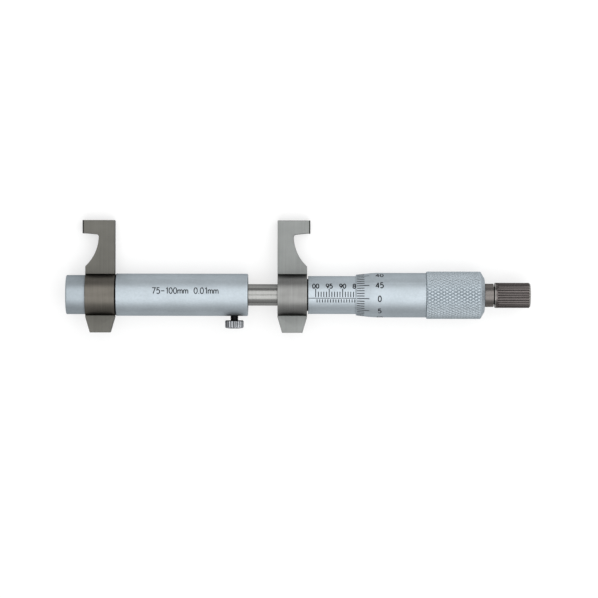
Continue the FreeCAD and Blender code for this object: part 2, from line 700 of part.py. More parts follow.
def ratchet_spring():
    """A coil drawn as a loft through sections spaced evenly along its wire."""
    first = RING_RIGHT + SPRING_WIRE_RADIUS
    last = KNOB_FLOOR - SPRING_WIRE_RADIUS
    count = SPRING_TURNS * SPRING_SECTIONS_PER_TURN
    sections = []
    for index in range(count + 1):
        x = first + (last - first) * index / count
        sections.append(spring_section(index / SPRING_SECTIONS_PER_TURN, x))
    return Part.makeLoft(sections, True, True)


def ratchet_knob():
    bore = RATCHET_BOSS_RADIUS + RATCHET_CLEARANCE
    screw_hole = RATCHET_SCREW_RADIUS + RATCHET_CLEARANCE
    knob = turned([
        (KNOB_LEFT, bore),
        (KNOB_LEFT, KNOB_RADIUS - KNOB_CHAMFER / 2),
        (KNOB_LEFT + KNOB_CHAMFER / 2, KNOB_RADIUS),
        (KNOB_RIGHT - KNOB_CHAMFER, KNOB_RADIUS),
        (KNOB_RIGHT, KNOB_RADIUS - KNOB_CHAMFER),
        (KNOB_RIGHT, KNOB_RECESS_RADIUS),
        (KNOB_RECESS_FLOOR, KNOB_RECESS_RADIUS),
        (KNOB_RECESS_FLOOR, screw_hole),
        (KNOB_FLOOR, screw_hole),
        (KNOB_FLOOR, bore),
    ])
    ribs = grooves(KNOB_RIBS, KNOB_RADIUS, KNOB_RIB_DEPTH, KNOB_LEFT + KNOB_BAND, KNOB_RIGHT)
    lug_grooves = ratchet_lugs(
        KNOB_LEFT,
        RING_RIGHT + RATCHET_TOOTH_HEIGHT,
        RATCHET_LUG_RADIUS + RATCHET_CLEARANCE,
        RATCHET_LUG_WIDTH + 2 * RATCHET_CLEARANCE,
    )
    return knob.cut(ribs).cut(lug_grooves)


def ratchet_screw():
    head_left = KNOB_RECESS_FLOOR + RATCHET_CLEARANCE
    head_right = head_left + RATCHET_SCREW_HEAD_LENGTH
    thread_left = RATCHET_FACE - RATCHET_SCREW_THREAD_LENGTH
    screw = turned([
        (thread_left, 0),
        (thread_left, RATCHET_SCREW_THREAD_RADIUS),
        (RATCHET_FACE, RATCHET_SCREW_THREAD_RADIUS),
        (RATCHET_FACE, RATCHET_SCREW_RADIUS),
        (head_left, RATCHET_SCREW_RADIUS),
        (head_left, RATCHET_SCREW_HEAD_RADIUS),
        (head_right - RATCHET_CLEARANCE, RATCHET_SCREW_HEAD_RADIUS),
        (head_right, RATCHET_SCREW_HEAD_RADIUS - RATCHET_CLEARANCE),
        (head_right, 0),
    ])
    half = SCREW_SLOT_WIDTH / 2
    slot = block(
        (head_right - SCREW_SLOT_DEPTH, head_right),
        (-RATCHET_SCREW_HEAD_RADIUS, RATCHET_SCREW_HEAD_RADIUS),
        (-half, half),
    )
    return screw.cut(slot)


# Lock

def lock_pad():
    return lock_cylinder(LOCK_PAD_INNER, LOCK_PAD_OUTER, LOCK_NECK_RADIUS)


def lock_screw():
    """The screw is turned on the X axis first, ribbed, and stood on its own axis."""
    head_right = LOCK_HEAD_BOTTOM + LOCK_HEAD_THICKNESS
    screw = turned([
        (LOCK_PAD_OUTER, 0),
        (LOCK_PAD_OUTER, LOCK_NECK_RADIUS),
        (LOCK_HEAD_BOTTOM, LOCK_NECK_RADIUS),
        (LOCK_HEAD_BOTTOM, LOCK_HEAD_RADIUS - LOCK_HEAD_CHAMFER),
        (LOCK_HEAD_BOTTOM + LOCK_HEAD_CHAMFER, LOCK_HEAD_RADIUS),
        (head_right - LOCK_HEAD_DOME - LOCK_HEAD_CHAMFER, LOCK_HEAD_RADIUS),
        (head_right - LOCK_HEAD_DOME, LOCK_HEAD_RADIUS - LOCK_HEAD_CHAMFER),
        (head_right, LOCK_HEAD_RADIUS / 2),
        (head_right, 0),
    ])
    ribs = grooves(LOCK_RIBS, LOCK_HEAD_RADIUS, LOCK_RIB_DEPTH, LOCK_HEAD_BOTTOM, head_right)
    screw = screw.cut(ribs)
    screw.rotate(ORIGIN, PLATE_NORMAL, -90)
    screw.translate(Vector(LOCK_X, 0, 0))
    return screw


# The whole instrument

PIECES = [
    fixed_jaw,
    fixed_jaw_tip,
    guide_rod,
    inner_sleeve,
    scale_sleeve,
    adjusting_nut,
    movable_jaw,
    movable_jaw_tip,
    spacer_ring,
    body_tube,
    guide_bush,
    guide_key,
    thrust_bush,
    end_cap,
    spindle,
    thimble,
    thrust_washer,
    thrust_nut,
    thrust_lock_nut,
    ratchet_base,
    ratchet_screw,
    ratchet_knob,
    ratchet_ring,
    ratchet_spring,
    lock_pad,
    lock_screw,
]


def rest_lean():
    """Degrees that the arms lean down until their corners and the knurl share one surface."""
    corner_distance = math.hypot(ARM_REACH, JAW_THICKNESS / 2)
    corner_angle = math.asin(KNURL_RADIUS / corner_distance)
    return math.degrees(corner_angle - math.atan2(JAW_THICKNESS / 2, ARM_REACH))


def laid_down(shapes):
    """Roll the pieces onto their rest and set the origin under the middle of the whole."""
    lean = rest_lean()
    for shape in shapes.values():
        shape.rotate(ORIGIN, SPINDLE_AXIS, -lean)
    box = Part.makeCompound(list(shapes.values())).optimalBoundingBox(True, False)
    shift = Vector(-box.Center.x, -box.Center.y, -box.ZMin)
    for shape in shapes.values():
        shape.translate(shift)
    return shift


def main():
    shapes = {piece.__name__: piece() for piece in PIECES}
    shift = laid_down(shapes)
    os.makedirs("parts", exist_ok=True)
    for name, shape in shapes.items():
        shape.exportStep("parts/" + name + ".step")
        print(name, "solids", len(shape.Solids), "volume", round(shape.Volume, 1), shape.isValid())
    print("lean", round(rest_lean(), 4), "shift", shift)
    return shapes, shift


shapes, shift = main()
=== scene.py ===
import json
import math

import bmesh
import bpy
from mathutils import Matrix, Vector


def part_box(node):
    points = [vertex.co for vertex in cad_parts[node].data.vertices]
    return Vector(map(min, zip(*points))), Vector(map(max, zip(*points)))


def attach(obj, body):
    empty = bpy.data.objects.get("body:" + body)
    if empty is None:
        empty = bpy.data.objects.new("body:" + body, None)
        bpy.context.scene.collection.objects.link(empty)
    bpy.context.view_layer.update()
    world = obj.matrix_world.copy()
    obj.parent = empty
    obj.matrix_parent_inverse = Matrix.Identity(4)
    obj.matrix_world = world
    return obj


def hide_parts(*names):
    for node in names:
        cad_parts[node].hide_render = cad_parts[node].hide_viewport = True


# The visible surfaces of an inside micrometer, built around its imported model.
# Meshes are drawn in millimetres along the instrument's own axes: X is the spindle
# axis and starts at the fixed measuring face, Y is the way the jaw arms point and
# Z stands on the jaw plates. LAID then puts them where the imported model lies.

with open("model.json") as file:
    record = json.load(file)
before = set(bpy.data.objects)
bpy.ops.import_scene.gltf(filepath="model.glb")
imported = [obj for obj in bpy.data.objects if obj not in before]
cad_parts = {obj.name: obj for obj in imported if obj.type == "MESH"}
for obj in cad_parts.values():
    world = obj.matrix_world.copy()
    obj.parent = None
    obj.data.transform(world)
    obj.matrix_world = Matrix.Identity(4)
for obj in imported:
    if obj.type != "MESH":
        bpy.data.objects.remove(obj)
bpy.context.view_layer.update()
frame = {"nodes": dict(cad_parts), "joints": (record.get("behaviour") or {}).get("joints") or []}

MM = 0.001

# Sizes in millimetres
JAW_WIDTH = 11.0
JAW_THICKNESS = 5.5
JAW_EDGE = 0.12
HUB_RADIUS = 8.25
HUB_EDGE = 0.12
HUB_FACING = 0.6              # cosine between the radius and a face of the hub's outside
NOSE_PROUD = 1.2
NOSE_HEIGHT = 4.9
NOSE_UNDERCUT = 0.35
ARM_REACH = 27.75
WEB_THICKNESS = 6.0
HOOK_ARC_RADIUS = 15.5
HOOK_ARC_HEIGHT = 22.0
HOOK_CORNER_RADIUS = 1.0
TAIL_REACH = 14.1
TAIL_INSET = 1.7
TAIL_STRAIGHT = 0.55
TIP_THICKNESS = 1.5
TIP_CROWN_RADIUS = 8.0
RIGHT_TIP_LAPPED = 0.4
LEFT_TIP_LAPPED = 0.7

ROD_RADIUS = 4.0
ROD_BORE_RADIUS = 2.58
ROD_EDGE = 0.3
KEYWAY_WIDTH = 2.1
KEYWAY_DEPTH = 0.8
KEYWAY_SPARE = 1.0
TRAVEL_OUT = 15.0
TRAVEL_IN = 10.0

TUBE_RADIUS = 7.88
TUBE_WALL = 1.28
TUBE_END_ROUND = 0.5
TUBE_EDGE = 0.12
TUBE_STEP = 1.0
SPIGOT_RADIUS = 6.0
SPIGOT_BORE_RADIUS = 4.6
CAP_RADIUS = 7.3
CAP_EDGE = 0.5
CAP_WALL = 1.4
CAP_BORE_RADIUS = 4.4

SLEEVE_RADIUS = 7.08
SLEEVE_BORE_RADIUS = 6.0
SLEEVE_EDGE = 0.15
SPANNER_HOLE_RADIUS = 0.6
SPANNER_HOLE_FROM_END = 8.0
NECK_SEAT_DEPTH = 6.0

THIMBLE_BORE_RADIUS = 7.2
THIMBLE_EDGE_RADIUS = 7.58
THIMBLE_BEVEL_RADIUS = 8.2
THIMBLE_BEVEL_LENGTH = 5.5
THIMBLE_RADIUS = 8.3
THIMBLE_BLEND_LENGTH = 2.0
THIMBLE_END_WALL = 5.9
THIMBLE_END_RADIUS = 6.3
THIMBLE_END_SLOPE = 1.3
THIMBLE_END_EDGE = 0.08
THIMBLE_END_EDGE_FALL = 0.12
THIMBLE_EDGE_ROUND = 0.06
THIMBLE_BEVEL_ROUND = 0.25
THIMBLE_BLEND_ROUND = 0.6
TAPER_SEAT_BIG_RADIUS = 3.0
TAPER_SEAT_SMALL_RADIUS = 2.5
TAPER_SEAT_SHORT = 0.5
KNURL_RADIUS = 8.83
KNURL_STEP = 0.3
KNURL_LENGTH = 20.5
KNURL_DEPTH = 0.215
KNURL_LINE_WIDTH = 0.12       # the turned line before the knurl
KNURL_LINE_DEPTH = 0.08
KNURL_LINE_ROUND = 0.03
KNURLS_AROUND = 44
KNURLS_ALONG = 9.5

KNOB_RADIUS = 4.7
KNOB_BORE_RADIUS = 3.35
KNOB_BAND = 1.1
KNOB_EDGE = 0.5
KNOB_RIM_ROUND = 0.08
KNOB_LEFT_HIGHLIGHT_SHARE = 0.8     # how much of the edge is painted lighter, as a highlight
KNOB_RIGHT_HIGHLIGHT_SHARE = 0.9
KNOB_RIBS = 28
KNOB_RIB_DEPTH = 0.3
KNOB_RIB_RUNOUT = 0.3
KNOB_END_RECESS = 1.7
KNOB_END_WALL = 1.8
KNOB_RECESS_RADIUS = 2.9
KNOB_SCREW_HOLE_RADIUS = 1.75
LUG_RADIUS = 3.8
LUG_WIDTH = 1.3

LOCK_FROM_TUBE_END = 5.1
LOCK_PAD_OUTER = 5.87         # from the spindle axis to the lock pad's outer end
LOCK_NECK_RADIUS = 1.4
LOCK_HOLE_RADIUS = 1.43
LOCK_HEAD_RADIUS = 3.5
LOCK_HEAD_THICKNESS = 3.1
LOCK_HEAD_STANDOFF = 1.62
LOCK_HEAD_EDGE = 0.35
LOCK_HEAD_DOME = 0.2
LOCK_FLAT_FALL = 0.05         # the soft edge of the flat on the head's end
LOCK_FLAT_BLEND = 0.4
LOCK_FLAT_PARTS = (2, 4, 12)  # the head's radius over the radii of the rings on the flat
LOCK_RIBS = 22
LOCK_RIB_DEPTH = 0.25

# The scales
MARK_SINK = 0.05              # how far a mark reaches below the surface
MARK_PROUD = 0.012            # and how far its paint stands above it
INDEX_ANGLE = 9.7             # degrees from the front of the sleeve to the index line
INDEX_LINE_WIDTH = 0.23
INDEX_LINE_SPARE = 1.0        # past the last line of the scale
SCALE_LINE_WIDTH = 0.33
DIGIT_LINE_WIDTH = 0.4
RANGE_LINE_WIDTH = 0.34
SCALE_START = 2.0
SCALE_LENGTH = 25
LARGEST_SETTING = 100
LINE_GAP = 0.4                # clear of the index line
MM_LINE_TOP = 2.45
FIVE_MM_LINE_TOP = 3.55
HALF_MM_LINE_BOTTOM = 1.65
SLEEVE_DIGIT_HEIGHT = 1.8
SLEEVE_DIGIT_STRETCH = 0.87
SLEEVE_DIGIT_LIFT = 4.65      # index line to the middle of the digits
THIMBLE_DIVISIONS = 50
THIMBLE_LINE_START = 0.3
THIMBLE_LINE_LENGTH = 2.8
THIMBLE_FIVE_LINE_LENGTH = 4.6
THIMBLE_DIGIT_HEIGHT = 2.15
THIMBLE_DIGIT_STRETCH = 0.83
THIMBLE_DIGIT_PLACE = 8.75    # thimble's edge to the middle of the digits
RANGE_TEXT = "75-100mm 0.01mm"
RANGE_TEXT_HEIGHT = 2.2
RANGE_TEXT_STRETCH = 0.88
RANGE_TEXT_LEFT = -58.68
RANGE_TEXT_ANGLE = 11.2       # degrees above the front of the tube

# Mesh fineness
SEGMENTS = 192
CUTTER_SEGMENTS = 64
SPANNER_HOLE_SEGMENTS = 48
ROUND_STEPS = 3
ROUND_SUPPORT = 1.6           # the points beside a round, in rounds from the corner
HOOK_STEPS = 28
CORNER_STEPS = 8
CROWN_STEPS = 16
POINTS_PER_RIB = 8
POINTS_PER_KNURL = 8
SMOOTH_ANGLE = math.radians(32)
CUT_SPARE = 1.0               # how far a cutter reaches past what it cuts
STROKE_TURN = 18              # degrees between the points of a curved stroke
STROKE_STEP = 0.25            # the longest straight part of a stroke round a surface
MITRE_LIMIT = 0.55
TINY = 1e-6

# Where the instrument lies in the frame
joints = {joint["name"]: joint for joint in frame["joints"]}
face_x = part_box("fixed_jaw_tip")[1].x
spindle_point = Vector(joints["thimble_turn"]["pos_m"])
ALONG = Vector((1, 0, 0))
ARM = Vector(joints["lock_plug_slide"]["axis"])
PLATE = ALONG.cross(ARM)
ORIGIN = Vector((face_x, spindle_point.y, spindle_point.z))
LAID = Matrix((ALONG * MM, ARM * MM, PLATE * MM)).transposed().to_4x4()
LAID.translation = ORIGIN


def ends(node):
    """Where a node starts and ends along the spindle axis, in millimetres."""
    low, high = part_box(node)
    return (low.x - face_x) / MM, (high.x - face_x) / MM


FIXED_HUB_LEFT = -NOSE_PROUD - JAW_WIDTH
FIXED_HUB_RIGHT = -NOSE_PROUD
NECK_SEAT_LEFT = FIXED_HUB_RIGHT - NECK_SEAT_DEPTH
MOVABLE_FACE = ends("movable_jaw_tip")[0]
MOVABLE_HUB_LEFT = MOVABLE_FACE + NOSE_PROUD
TUBE_LEFT = ends("spacer_ring")[1]
TUBE_SPIGOT_END, TUBE_RIGHT = ends("body_tube")
CAP_LEFT, CAP_SPIGOT_END = ends("end_cap")
ROD_LEFT, ROD_RIGHT = ends("guide_rod")
KEY_LEFT, KEY_RIGHT = ends("guide_key")
SLEEVE_LEFT, SLEEVE_RIGHT = ends("scale_sleeve")
THIMBLE_LEFT, THIMBLE_RIGHT = ends("thimble")
KNOB_LEFT, KNOB_RIGHT = ends("ratchet_knob")
RING_RIGHT = ends("ratchet_ring")[1]
LOCK_X = TUBE_RIGHT - LOCK_FROM_TUBE_END
LOCK_HEAD_BOTTOM = TUBE_RADIUS + LOCK_HEAD_STANDOFF


# Mesh building

def finished(bm, name):
    """The mesh that a bmesh holds; the bmesh itself is freed."""
    mesh = bpy.data.meshes.new(name)
    bm.to_mesh(mesh)
    bm.free()
    return mesh


def placed(name, data):
    """A new object in the scene."""
    made = bpy.data.objects.new(name, data)
    bpy.context.scene.collection.objects.link(made)
    return made


def softened(corners):
    """Rounds the (x, radius, round) corners of a closed profile; a round of 0 stays sharp."""
    points = []
    for index, (x, radius, size) in enumerate(corners):
        here = Vector((x, radius))
        if size == 0:
            points.append(here)
            continue
        before = (Vector(corners[index - 1][:2]) - here).normalized()
        after = (Vector(corners[(index + 1) % len(corners)][:2]) - here).normalized()
        start = here + before * size
        end = here + after * size
        points.append(here + before * size * ROUND_SUPPORT)
        for step in range(ROUND_STEPS + 1):
            t = step / ROUND_STEPS
            points.append(start * (1 - t) ** 2 + here * (2 * t * (1 - t)) + end * t ** 2)
        points.append(here + after * size * ROUND_SUPPORT)
    return points


def ring(x, radii):
    """One loop of points about the spindle axis; its angle starts at +Y and turns to +Z."""
    if max(radii) < TINY:
        return [Vector((x, 0, 0))]
    loop = []
    for index, radius in enumerate(radii):
        angle = 2 * math.pi * index / len(radii)
        loop.append(Vector((x, radius * math.cos(angle), radius * math.sin(angle))))
    return loop


def skin(rings, slanted=None):
    """A closed mesh over rings, each joined to the next and the last to the first.

    slanted says which diagonal splits the square at (ring, point), or None for no split.
    """
    bm = bmesh.new()
    loops = [[bm.verts.new(point) for point in loop] for loop in rings]
    for row, first in enumerate(loops):
        second = loops[(row + 1) % len(loops)]
        count = max(len(first), len(second))
        if count == 1:
            continue
        for index in range(count):
            after = (index + 1) % count
            if len(first) == 1:
                bm.faces.new((first[0], second[after], second[index]))
            elif len(second) == 1:
                bm.faces.new((first[index], first[after], second[0]))
            else:
                corners = (first[index], first[after], second[after], second[index])
                way = slanted(row, index) if slanted else None
                if way is None:
                    bm.faces.new(corners)
                elif way:
                    bm.faces.new((corners[0], corners[1], corners[2]))
                    bm.faces.new((corners[0], corners[2], corners[3]))
                else:
                    bm.faces.new((corners[1], corners[2], corners[3]))
                    bm.faces.new((corners[1], corners[3], corners[0]))
    bmesh.ops.recalc_face_normals(bm, faces=bm.faces)
    return finished(bm, "drawn")


def turned(corners, segments=SEGMENTS):
    """A closed mesh turned about the spindle axis from the corners of its profile."""
    rings = [ring(x, [radius] * segments) for x, radius in softened(corners)]
    return skin(rings)


def cylinder(start, direction, length, radius, segments=CUTTER_SEGMENTS):
    """A plain cutter."""
    mesh = turned([(0, 0, 0), (0, radius, 0), (length, radius, 0), (length, 0, 0)], segments)
    turn = Vector((1, 0, 0)).rotation_difference(Vector(direction)).to_matrix().to_4x4()
    mesh.transform(Matrix.Translation(Vector(start)) @ turn)
    return mesh


def block(x_span, y_span, z_span):
    """A plain cutter."""
    bm = bmesh.new()
    bmesh.ops.create_cube(bm, size=1)
    for vert in bm.verts:
        for axis, (low, high) in enumerate((x_span, y_span, z_span)):
            vert.co[axis] = low if vert.co[axis] < 0 else high
    return finished(bm, "cutter")


def prism(points, way):
    """A bmesh with the solid that a flat outline leaves when it moves along way."""
    bm = bmesh.new()
    face = bm.faces.new([bm.verts.new(point) for point in points])
    extruded = bmesh.ops.extrude_face_region(bm, geom=[face])
    moved = [item for item in extruded["geom"] if isinstance(item, bmesh.types.BMVert)]
    bmesh.ops.translate(bm, verts=moved, vec=way)
    bmesh.ops.recalc_face_normals(bm, faces=bm.faces)
    return bm


def combined(first, second, operation):
    """The union or difference of two closed meshes, as a new mesh."""
    objects = [placed("operand", mesh) for mesh in (first, second)]
    boolean = objects[0].modifiers.new("boolean", "BOOLEAN")
    boolean.operation = operation
    boolean.solver = "EXACT"
    boolean.object = objects[1]
    graph = bpy.context.evaluated_depsgraph_get()
    result = bpy.data.meshes.new_from_object(objects[0].evaluated_get(graph), depsgraph=graph)
    for made in objects:
        bpy.data.objects.remove(made)
    return result


def piece(name, mesh, material, body, nodes=(), second=None, second_where=None):
    """Lays a mesh down in the frame, ties it to its body, gives it its finish and hides the nodes it
    stands for.

    second is the material of the faces for which second_where(face) holds.
    """
    mesh.name = name
    mesh.materials.clear()
    mesh.materials.append(material)
    for face in mesh.polygons:
        face.use_smooth = True
        face.material_index = 0
    if second:
        mesh.materials.append(second)
        for face in mesh.polygons:
            face.material_index = int(second_where(face))
    mesh.set_sharp_from_angle(angle=SMOOTH_ANGLE)
    mesh.transform(LAID)
    made = placed(name, mesh)
    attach(made, body)
    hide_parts(*nodes)


# Materials
NOISE_LOW = 0.3               # the range that noise mostly fills
NOISE_HIGH = 0.7
CLOUDS = (0.12, 0.18, 0.18)   # slow changes of tone, in features per millimetre
STREAK_SHARE = 0.25           # how fine streaks are beside the grain
TONE_LOW = 0.38               # the range of the tone's noise that is used
TONE_HIGH = 0.62
EDGE_START = 0.51             # the pointiness at which edge wear and painted highlight start to show
EDGE_FULL = 0.56
EDGE_GAIN = 1.6               # how much brighter edges are painted, for wear and highlight
PAINTED_SHADE_GAIN = 0.15            # and how bright the darkest painted shade is
PAINTED_SHADE_SAMPLES = 8
PAINT_CLOUDS = (1.5, 1.5, 1.5)
PAINT_DARK = 0.6
PAINT_LIGHT = 1.6
PAINT_ROUGHNESS_CHANGE = 0.08
PAINT_GLOSS = 0.15
PAINT_GRAIN_DEPTH = 0.003


def node(tree, kind, **values):
    """A node with its named inputs, or its own properties, set to values."""
    made = tree.nodes.new(kind)
    for name, value in values.items():
        if name in made.inputs:
            made.inputs[name].default_value = value
        else:
            setattr(made, name, value)
    return made


def noise(tree, features_per_mm, detail=2.0):
    """Noise in the object's own space, with its fineness given for each axis."""
    place = node(tree, "ShaderNodeTexCoord")
    mapping = node(tree, "ShaderNodeMapping", Scale=[value / MM for value in features_per_mm])
    texture = node(tree, "ShaderNodeTexNoise", Scale=1.0, Detail=detail)
    tree.links.new(place.outputs["Object"], mapping.inputs["Vector"])
    tree.links.new(mapping.outputs["Vector"], texture.inputs["Vector"])
    return texture.outputs["Fac"]


def ranged(tree, source, low, high, start=NOISE_LOW, stop=NOISE_HIGH):
    """A value that goes from low to high while source goes from start to stop."""
    made = node(tree, "ShaderNodeMapRange")
    made.inputs["From Min"].default_value = start
    made.inputs["From Max"].default_value = stop
    made.inputs["To Min"].default_value = low
    made.inputs["To Max"].default_value = high
    tree.links.new(source, made.inputs["Value"])
    return made.outputs["Result"]


def math_node(tree, operation, first, second):
    """The result of a Math node on two numbers or outputs of other nodes."""
    made = node(tree, "ShaderNodeMath", operation=operation)
    for socket, value in zip(made.inputs, (first, second)):
        if isinstance(value, (int, float)):
            socket.default_value = value
        else:
            tree.links.new(value, socket)
    return made.outputs["Value"]


def blended(tree, share, dark, light):
    """A colour between two, by a share from 0 to 1."""
    made = node(tree, "ShaderNodeMix", data_type="RGBA", blend_type="MIX")
    tree.links.new(share, made.inputs["Factor"])
    colours = [socket for socket in made.inputs if socket.type == "RGBA"]
    for socket, value in zip(colours, (dark, light)):
        if isinstance(value, tuple):
            socket.default_value = (*value, 1)
        else:
            tree.links.new(value, socket)
    return [socket for socket in made.outputs if socket.type == "RGBA"][0]


def scaled(colour, factor):
    """A colour times a factor, with no channel over 1."""
    return tuple(min(1.0, channel * factor) for channel in colour)


def metal(name, colour, roughness, grain, grain_depth, tone=0.08, roughness_change=0.06,
          edge_wear_and_highlight=0.15, painted_shade=0.3, shade_distance=1.2, shade_closed=0.25, shade_open=0.85,
          glancing=0.4):
    """Metal with a fine grain, a cloudy tone, edges painted brighter and creases painted darker.

    grain is the number of features per millimetre along each axis and grain_depth their
    height in millimetres. Sharp edges are painted brighter, as wear and as a painted
    highlight, by a share of up to edge_wear_and_highlight. Painted shade darkens the colour
    where less than shade_open of the surroundings within shade_distance, in millimetres, is
    open, and is darkest at shade_closed; painted_shade is how strong that is, from 0 to 1.
    glancing is the tint of the light that grazes the metal.
    """
    material = bpy.data.materials.new(name)
    material.use_nodes = True
    tree = material.node_tree
    shader = tree.nodes["Principled BSDF"]
    shader.inputs["Metallic"].default_value = 1.0
    shader.inputs["Specular Tint"].default_value = (glancing, glancing, glancing, 1)

    fine = noise(tree, grain, detail=3.0)
    cloud = noise(tree, CLOUDS)
    streak = noise(tree, tuple(value * STREAK_SHARE for value in grain))

    clouded = math_node(tree, "MULTIPLY", cloud, 0.5)
    streaked = math_node(tree, "MULTIPLY", streak, 0.5)
    tones = math_node(tree, "ADD", clouded, streaked)
    share = ranged(tree, tones, 0.0, 1.0, TONE_LOW, TONE_HIGH)
    base = blended(tree, share, scaled(colour, 1 - tone), scaled(colour, 1 + tone))

    # Sharp edges painted brighter: partly wear, partly a painted highlight.
    geometry = node(tree, "ShaderNodeNewGeometry")
    pointed = geometry.outputs["Pointiness"]
    wear_and_glint = ranged(tree, pointed, 0.0, edge_wear_and_highlight, EDGE_START, EDGE_FULL)
    base = blended(tree, wear_and_glint, base, scaled(colour, EDGE_GAIN))

    # Painted shade: the colour darkens in creases, gaps and under nearby parts, where shade falls.
    hollow = node(tree, "ShaderNodeAmbientOcclusion", Distance=shade_distance * MM)
    hollow.samples = PAINTED_SHADE_SAMPLES
    shade = ranged(tree, hollow.outputs["AO"], 1.0 - painted_shade, 1.0, shade_closed, shade_open)
    base = blended(tree, shade, scaled(colour, PAINTED_SHADE_GAIN), base)
    tree.links.new(base, shader.inputs["Base Color"])

    rough = ranged(tree, fine, roughness - roughness_change, roughness + roughness_change)
    tree.links.new(rough, shader.inputs["Roughness"])

    bump = node(tree, "ShaderNodeBump", Strength=1.0, Distance=grain_depth * MM)
    tree.links.new(fine, bump.inputs["Height"])
    tree.links.new(bump.outputs["Normal"], shader.inputs["Normal"])
    return material


# Grains, in features per millimetre along each axis
SAND = (5.0, 5.0, 5.0)
TURNED = (9.0, 0.35, 0.35)
GROUND = (7.0, 0.12, 0.12)

# Each metal's colour is painted darker in its creases as shade, and its sharp edges are painted
# brighter as wear and highlight.
satin_chrome = metal("satin_chrome", (0.40, 0.446, 0.480), 0.54, SAND, 0.004, tone=0.05,
                     painted_shade=0.2)
# The tube's strong painted shade makes a painted shadow under the lock screw's head and darkens the
# tube beside the jaw's arm.
tube_chrome = metal("tube_chrome", (0.40, 0.446, 0.480), 0.54, SAND, 0.004, tone=0.05,
                    painted_shade=0.95, shade_distance=4.0, shade_closed=0.3, shade_open=0.85)
knurl_chrome = metal("knurl_chrome", (0.405, 0.453, 0.487), 0.54, SAND, 0.004, tone=0.05,
                     painted_shade=0.2, glancing=0.15)
cap_chrome = metal("cap_chrome", (0.315, 0.355, 0.385), 0.54, SAND, 0.004, tone=0.05)
# The jaw plates are painted darker in their corners as shade, most where they meet the hubs.
left_jaw_steel = metal("left_jaw_steel", (0.094, 0.092, 0.083), 0.34, GROUND, 0.003, tone=0.08,
                       painted_shade=0.9, shade_distance=6.0, shade_open=0.95)
right_jaw_steel = metal("right_jaw_steel", (0.164, 0.171, 0.167), 0.34, GROUND, 0.003, tone=0.08,
                        painted_shade=0.9, shade_distance=6.0, shade_open=0.95)
# The hubs are painted much darker towards the plates, as shade.
left_hub_steel = metal("left_hub_steel", (0.113, 0.105, 0.092), 0.40, TURNED, 0.003,
                       painted_shade=0.97, shade_distance=9.0, shade_closed=0.84, shade_open=0.97,
                       glancing=0.3)
right_hub_steel = metal("right_hub_steel", (0.198, 0.200, 0.195), 0.40, TURNED, 0.003,
                        painted_shade=0.97, shade_distance=9.0, shade_closed=0.84, shade_open=0.97,
                        glancing=0.3)
polished_steel = metal("polished_steel", (0.215, 0.216, 0.210), 0.22, TURNED, 0.0006, tone=0.05,
                       roughness_change=0.03)
face_steel = metal("face_steel", (0.05, 0.049, 0.047), 0.30, GROUND, 0.001, glancing=0.02)
# Near-black for the blackened lock-screw neck and spacer ring, and as painted shade under the lock
# head and in the gap where the inner sleeve shows.
blackened_steel = metal("blackened_steel", (0.008, 0.008, 0.009), 0.45, SAND, 0.003, glancing=0.1)
turned_steel = metal("turned_steel", (0.52, 0.51, 0.49), 0.30, TURNED, 0.002)
bronze = metal("bronze", (0.55, 0.38, 0.18), 0.34, TURNED, 0.002)
# The ratchet base is painted near-black in the narrow gap at the thimble, as shade, and its sharp
# edges brighter as wear and highlight.
ratchet_steel = metal("ratchet_steel", (0.092, 0.085, 0.081), 0.34, TURNED, 0.003, edge_wear_and_highlight=0.8,
                      painted_shade=0.98, shade_distance=0.8, shade_closed=0.45, shade_open=0.85)
# The knob's end rims are painted lighter, as a highlight.
rim_highlight_steel = metal("rim_highlight_steel", (0.24, 0.23, 0.22), 0.25, TURNED, 0.002)
# The knob's rib crests are painted brighter as highlights, and its grooves darker as shade.
knob_steel = metal("knob_steel", (0.084, 0.075, 0.073), 0.27, TURNED, 0.003, edge_wear_and_highlight=1.0,
                   painted_shade=0.97, shade_distance=0.6, shade_closed=0.7, shade_open=0.97)
# The lock head's rib crests are painted brighter as highlights, and its grooves darker as shade.
lock_steel = metal("lock_steel", (0.255, 0.265, 0.28), 0.18, TURNED, 0.003, edge_wear_and_highlight=1.0,
                   painted_shade=0.98, shade_distance=0.6, shade_closed=0.7, shade_open=1.0)


def paint(name, colour, roughness):
    """The dark filling of engraved marks, a little uneven."""
    material = bpy.data.materials.new(name)
    material.use_nodes = True
    tree = material.node_tree
    shader = tree.nodes["Principled BSDF"]
    cloud = noise(tree, PAINT_CLOUDS, detail=3.0)
    share = ranged(tree, cloud, 0.0, 1.0)
    base = blended(tree, share, scaled(colour, PAINT_DARK), scaled(colour, PAINT_LIGHT))
    tree.links.new(base, shader.inputs["Base Color"])
    change = PAINT_ROUGHNESS_CHANGE
    tree.links.new(ranged(tree, cloud, roughness - change, roughness + change),
                   shader.inputs["Roughness"])
    shader.inputs["Specular IOR Level"].default_value = PAINT_GLOSS
    bump = node(tree, "ShaderNodeBump", Strength=1.0, Distance=PAINT_GRAIN_DEPTH * MM)
    tree.links.new(noise(tree, SAND, detail=3.0), bump.inputs["Height"])
    tree.links.new(bump.outputs["Normal"], shader.inputs["Normal"])
    return material


mark_paint = paint("mark_paint", (0.012, 0.013, 0.016), 0.6)


# Jaws, drawn with the measuring face at x = 0 and looking to +X

def arc_points(centre, radius, start, stop, steps):
    """Points on a circle from start to stop, both included, the short way round."""
    first = math.atan2(start[1] - centre[1], start[0] - centre[0])
    last = math.atan2(stop[1] - centre[1], stop[0] - centre[0])
    turn = (last - first + math.pi) % (2 * math.pi) - math.pi
    points = []
    for step in range(steps + 1):
        angle = first + turn * step / steps
        points.append((centre[0] + radius * math.cos(angle), centre[1] + radius * math.sin(angle)))
    return points


